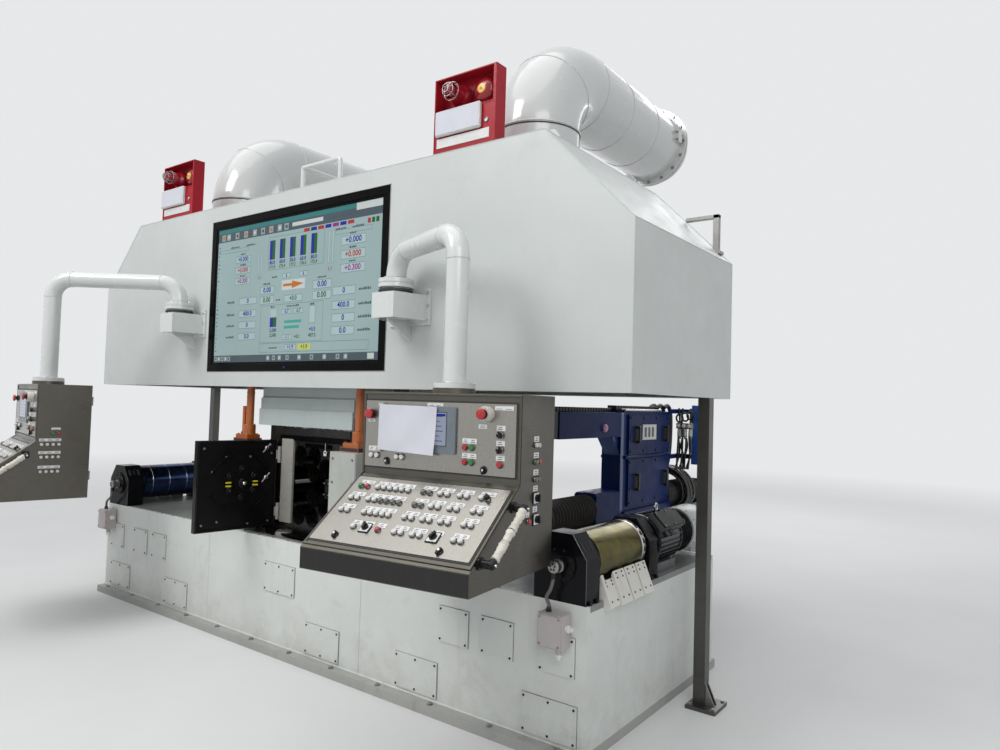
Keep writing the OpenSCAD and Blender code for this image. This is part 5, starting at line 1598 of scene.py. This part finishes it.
# Hood, roof pipe, ducts and alarm boxes
def hood_trim():
    """Weld beads along the folds, the inner flange of the lower edge, and lifting lugs."""
    p, side, shoulder, crown = Piece("hood_trim"), 2.41, 2.44, 1.92
    for y in (FRONT, FRONT + 1.265):
        for s in SIDES:
            p.tube([(s * side, y, z) for z in (1.662, 2.05, shoulder)], 0.0022, "hood", 8)
            slope = ((side, shoulder), ((side + crown) / 2, (shoulder + HOOD_TOP) / 2), (crown, HOOD_TOP))
            p.tube([(s * x, y, z) for x, z in slope], 0.0025, "hood", 8)
        p.tube([(x, y, HOOD_TOP) for x in (-crown, 0, crown)], 0.0022, "hood", 8)
    for s, (z, x) in product(SIDES, ((shoulder, side), (HOOD_TOP, crown))):
        p.tube([(s * x, FRONT + y, z) for y in (0.002, 0.63, 1.263)], 0.0025, "hood", 8)
    for y0, y1 in ((0.008, 0.048), (1.217, 1.257)):
        p.box((-2.40, FRONT + y0, 1.661), (2.40, FRONT + y1, 1.667), "guard", c=0.001)
    lug = [(-0.05, 0), (0.05, 0), (0.05, 0.03), (0.02, 0.07), (-0.02, 0.07), (-0.05, 0.03)]
    for s in SIDES:
        p.box((s * 2.402, FRONT + 0.05, 1.661), (s * 2.36, FRONT + 1.215, 1.667), "guard", c=0.001)
        for x, y in product((0.55, 1.84), (0.20, 1.06)):
            p.prism(lug, 0.016, "hood", shift(s * x, FRONT + y, HOOD_TOP) @ UPRIGHT)
    p.done()


def roof_pipe_frame():
    """Slim bent pipe on three feet."""
    p, base, r = Piece("roof_pipe_frame"), 2.931, 0.017
    x0, x1, y0, y1, z = -0.62, -0.20, FRONT + 0.55, FRONT + 1.18, 3.33
    across = [(x1, y0, base), (x1, y0, 3.10), (x1, y0, z - 0.03), (x1 - 0.01, y0, z - 0.005),
              (x1 - 0.04, y0, z), (-0.40, y0, z), (x0, y0, z)]
    back = [(x0, y0, z), (x0, y0 + 0.05, z), (x0, 0.1, z), (x0, y1 - 0.03, z - 0.01), (x0, y1, z - 0.05),
            (x0, y1, 3.1), (x0, y1, base)]
    p.tube(curve_pts(across, 5), r, "arm")
    p.tube(curve_pts(back, 5), r, "arm")
    p.tube([(x0, y0, z), (x0, y0, 3.1), (x0, y0, base)], r, "arm")
    for x, y in ((x1, y0), (x0, y1), (x0, y0)):
        p.disc((x, y, HOOD_TOP), UP, [(0, 0), (0.045, 0), (0.045, 0.006), (0.019, 0.006)], "arm", 24)
        p.caps(on_circle((x, y, 2.936), "z", 4, 0.034, 45), UP, 0.004, "dull")
    p.done()


def duct_fittings(word, s):
    """Seals, weld beads, roof and flange bolts, and the clamp beside the flange."""
    p = Piece("duct_fittings_" + word)
    x, y, rise, run, bend = s * 1.46, FRONT + 0.62, 3.17, 3.58, 0.41
    p.torus((x, y, rise), UP, 0.2505, 0.004, "seal", 64, 6)
    p.torus((x, y, rise + 0.012), UP, 0.250, 0.005, "weld", 64, 6)
    p.torus((x, y, 2.944), UP, 0.2525, 0.006, "weld", 64, 6)
    p.bolts(on_circle((x, y, 2.942), "z", 12, 0.268, 15), UP, 0.009, "dull")
    for t in (math.radians(45), math.radians(90)):
        c, d = math.cos(t), math.sin(t)
        p.torus((x, y + bend - bend * c, rise + bend * d), (0, d, c), 0.2502, 0.0035, "weld", 64, 6)
    for dy in (1.38, 1.76):
        p.torus((x, FRONT + dy, run), BACK, 0.2502, 0.0032, "weld", 64, 6)
    for front, rear in zip(*(on_circle((x, FRONT + dy, run), "y", 16, 0.270) for dy in (2.14, 2.18))):
        p.bolt(front, OUT, 0.010, "dull")
        p.bolt(rear, BACK, 0.010, "dull")
    joint = [(0.2915, 0), (0.2918, 0.001), (0.2918, 0.003), (0.2915, 0.004)]
    p.disc((x, FRONT + 2.158, run), BACK, joint, "seal", 64)
    for e in SIDES:
        a = x + e * 0.262
        p.box((a - 0.016, FRONT + 2.045, 3.545), (a + 0.016, FRONT + 2.105, 3.635), "duct", c=0.004)
        a = x + e * 0.264
        for z in (3.562, 3.618):
            p.rod((a, FRONT + 2.03, z), (a, FRONT + 2.20, z), 0.006, "dull", 12)
            p.bolt((a, FRONT + 2.045, z), OUT, 0.009, "dull")
    p.done()


def horn(p, x, y, z):
    """Horn with its wire guard, ahead of the niche."""
    shell = [(0.058, 0), (0.062, 0.010), (0.062, 0.034), (0.054, 0.046), (0.046, 0.060), (0.046, 0.100),
             (0.038, 0.112)]
    p.disc((x, y, z), OUT, shell, "lampred", 36)
    p.disc((x, y - 0.06, z), OUT, [(0.032, 0.04), (0.029, 0.070), (0.018, 0.085), (0, 0.090)], "lampred", 24)
    for r, dy in ((0.049, 0.112), (0.036, 0.142), (0.020, 0.160)):
        p.torus((x, y - dy, z), BACK, r, 0.0021, "wire", 32, 6)
    for u, _, w in on_circle((0, 0, 0), "y", 4, 1, 45):
        wire = ((0.050, 0.095), (0.049, 0.122), (0.034, 0.147), (0, 0.166))
        p.tube(curve_pts([(x + u * r, y - dy, z + w * r) for r, dy in wire], 4), 0.0019, "wire", 6)


def bell(p, x, y, z):
    """Round bell inside the niche."""
    dome = [(0.064, 0.0), (0.064, 0.010), (0.070, 0.012), (0.070, 0.018), (0.064, 0.030), (0.048, 0.042),
            (0.026, 0.047)]
    p.disc((x, y, z), OUT, dome, "lampred", 40)
    p.disc((x, y - 0.045, z), OUT, [(0.027, 0.0), (0.025, 0.006), (0.012, 0.009), (0, 0.0095)], "amber")
    p.cap((x, y - 0.054, z), OUT, 0.006, "dull")


def alarm_box(p, x, offset):
    """Horn and bell over a bare sign box, a bare strip, the lid's screw and the folded rims."""
    y, z, half = FRONT + 0.098, HOOD_TOP, 0.207
    horn_x, horn_z, bell_x, bell_z = x - 0.066, z + 0.318, x + 0.088, z + 0.322
    horn(p, horn_x, y, horn_z)
    bell(p, bell_x, y, bell_z)
    a = x + offset
    p.box((a - 0.186, FRONT - 0.005, z + 0.095), (a + 0.120, FRONT + 0.021, z + 0.231), "sign", c=0.006)
    p.box((a - 0.180, FRONT - 0.0062, z + 0.101), (a + 0.114, FRONT - 0.0045, z + 0.225), "paper", c=0.001)
    p.box((x - 0.187, FRONT + 0.0165, z + 0.036), (x + 0.171, FRONT + 0.0205, z + 0.088), "sign", c=0.001)
    screw = [(0.014, 0), (0.014, 0.004), (0.010, 0.006), (0.010, 0.004), (0, 0.004)]
    p.disc((x + 0.150, FRONT + 0.020, z + 0.130), OUT, screw, "wire", 20)
    for rim in (x - half, x + half):
        low, top = (rim - 0.003, FRONT + 0.017, z + 0.002), (rim + 0.003, FRONT + 0.024, z + 0.419)
        p.box(low, top, "alarm", c=0.001)
    p.box((x - half, FRONT + 0.0175, z + 0.221), (x + half, FRONT + 0.024, z + 0.228), "alarm", c=0.001)
    lead = [(horn_x + 0.055, y - 0.004, horn_z - 0.02), (x + 0.005, y - 0.006, horn_z + 0.03),
            (bell_x - 0.06, y - 0.004, bell_z + 0.03)]
    p.tube(curve_pts(lead), 0.004, "cable", 8)


def post_fittings():
    """Foot bolts and gussets of the rear posts, and a small frame on the right slope."""
    p = Piece("post_fittings")
    for s in SIDES:
        p.bolts(product((s * 2.336, s * 2.464), (FRONT + 0.925, FRONT + 1.069), [0.02]), UP, 0.010, "dull")
        for y in (0.985, 1.020):
            m = shift(s * 2.4015, FRONT + y, 0.0195) @ mirrored(s) @ UPRIGHT
            p.prism([(0, 0), (0.050, 0), (0, 0.11)], 0.008, "dull", m)
    p.box((2.322, FRONT + 1.184, 2.505), (2.356, FRONT + 1.216, 2.727), "dull", c=0.002)
    p.box((2.155, FRONT + 1.184, 2.705), (2.356, FRONT + 1.216, 2.727), "dull", c=0.002)
    p.box((2.310, FRONT + 1.170, 2.492), (2.372, FRONT + 1.230, 2.512), "dull", c=0.002)
    p.done()


hood_trim()
roof_pipe_frame()
duct_fittings("left", -1)
duct_fittings("right", 1)
p = Piece("alarm_fittings")
alarm_box(p, -1.422, -0.012)
alarm_box(p, 1.395, 0.0)
p.done()
post_fittings()

# Floor and light
PALE = (0.80, 0.81, 0.82, 1)       # colour of the background


def shown_rays(tree):
    """1 for camera, glossy and transmission rays, 0 for the rays that light a surface."""
    path = tree.nodes.new("ShaderNodeLightPath")
    shown = path.outputs["Is Camera Ray"]
    for name in ("Is Glossy Ray", "Is Transmission Ray"):
        either = tree.nodes.new("ShaderNodeMath")
        either.operation = "MAXIMUM"
        tree.links.new(shown, either.inputs[0])
        tree.links.new(path.outputs[name], either.inputs[1])
        shown = either.outputs[0]
    return shown


def pale_floor():
    """Floor that turns into the background's colour far from the stand."""
    n = Nodes("studio_floor")
    x, y, _ = n.xyz()
    away = n.math("DIVIDE", n.distance(x, y), 30.0)
    far = n.math("MULTIPLY", n.grey(away, 0.16, 0.0, 0.55, 1.0), shown_rays(n.tree))
    near = n.ramp(n.noise(0.7, 3), [(0.3, (0.66, 0.66, 0.655)), (0.7, (0.70, 0.70, 0.695))])
    n.colour(n.mix(far, near, (0.0, 0.0, 0.0)))
    n.shader.inputs["Emission Color"].default_value = PALE
    n.link(far, n.shader.inputs["Emission Strength"])
    n.set(Roughness=0.8, Specular_IOR_Level=0.0)
    mesh, half = bpy.data.meshes.new("studio_floor"), 90
    corners = [(-half, -half, 0), (half, -half, 0), (half, half, 0), (-half, half, 0)]
    mesh.from_pydata(corners, [], [(0, 1, 2, 3)])
    mesh.materials.append(n.mat)
    floor = bpy.data.objects.new("studio_floor", mesh)
    bpy.context.collection.objects.link(floor)


def background():
    """Soft light on the stand, and the pale colour where the camera, metal or glass sees past it."""
    world = bpy.data.worlds.new("studio")
    bpy.context.scene.world = world
    world.use_nodes = True
    tree = world.node_tree
    tree.nodes.clear()
    out, mixer = tree.nodes.new("ShaderNodeOutputWorld"), tree.nodes.new("ShaderNodeMixShader")
    tree.links.new(shown_rays(tree), mixer.inputs[0])
    for socket, colour, strength in ((1, (0.90, 0.95, 1.0, 1), 0.36), (2, PALE, 1.0)):
        shader = tree.nodes.new("ShaderNodeBackground")
        shader.inputs[0].default_value = colour
        shader.inputs[1].default_value = strength
        tree.links.new(shader.outputs[0], mixer.inputs[socket])
    tree.links.new(mixer.outputs[0], out.inputs[0])


def lamp(name, kind, power, **settings):
    data = bpy.data.lights.new(name, kind)
    data.energy = power
    for key, v in settings.items():
        setattr(data, key, v)
    o = bpy.data.objects.new(name, data)
    bpy.context.collection.objects.link(o)
    return o


def soft_box(name, place, target, size, power):
    o = lamp(name, "AREA", power, size=size)
    o.location = place
    o.rotation_euler = (Vector(target) - Vector(place)).to_track_quat("-Z", "Y").to_euler()


pale_floor()
bpy.context.scene.view_settings.view_transform = "Standard"
background()
soft_box("key", (-2.0, -6.5, 7.5), (0.3, -0.4, 1.4), 3.5, 330)
soft_box("fill", (6.5, -5.0, 5.0), (1.2, 0, 1.2), 4.0, 150)
soft_box("rear", (0.0, 8.0, 5.5), (0.0, 0.6, 1.2), 5.0, 160)
# soft light from above that reaches the far floor too
lamp("sky", "SUN", 1.1, angle=math.radians(70)).rotation_euler = (math.radians(14), math.radians(-8), 0)
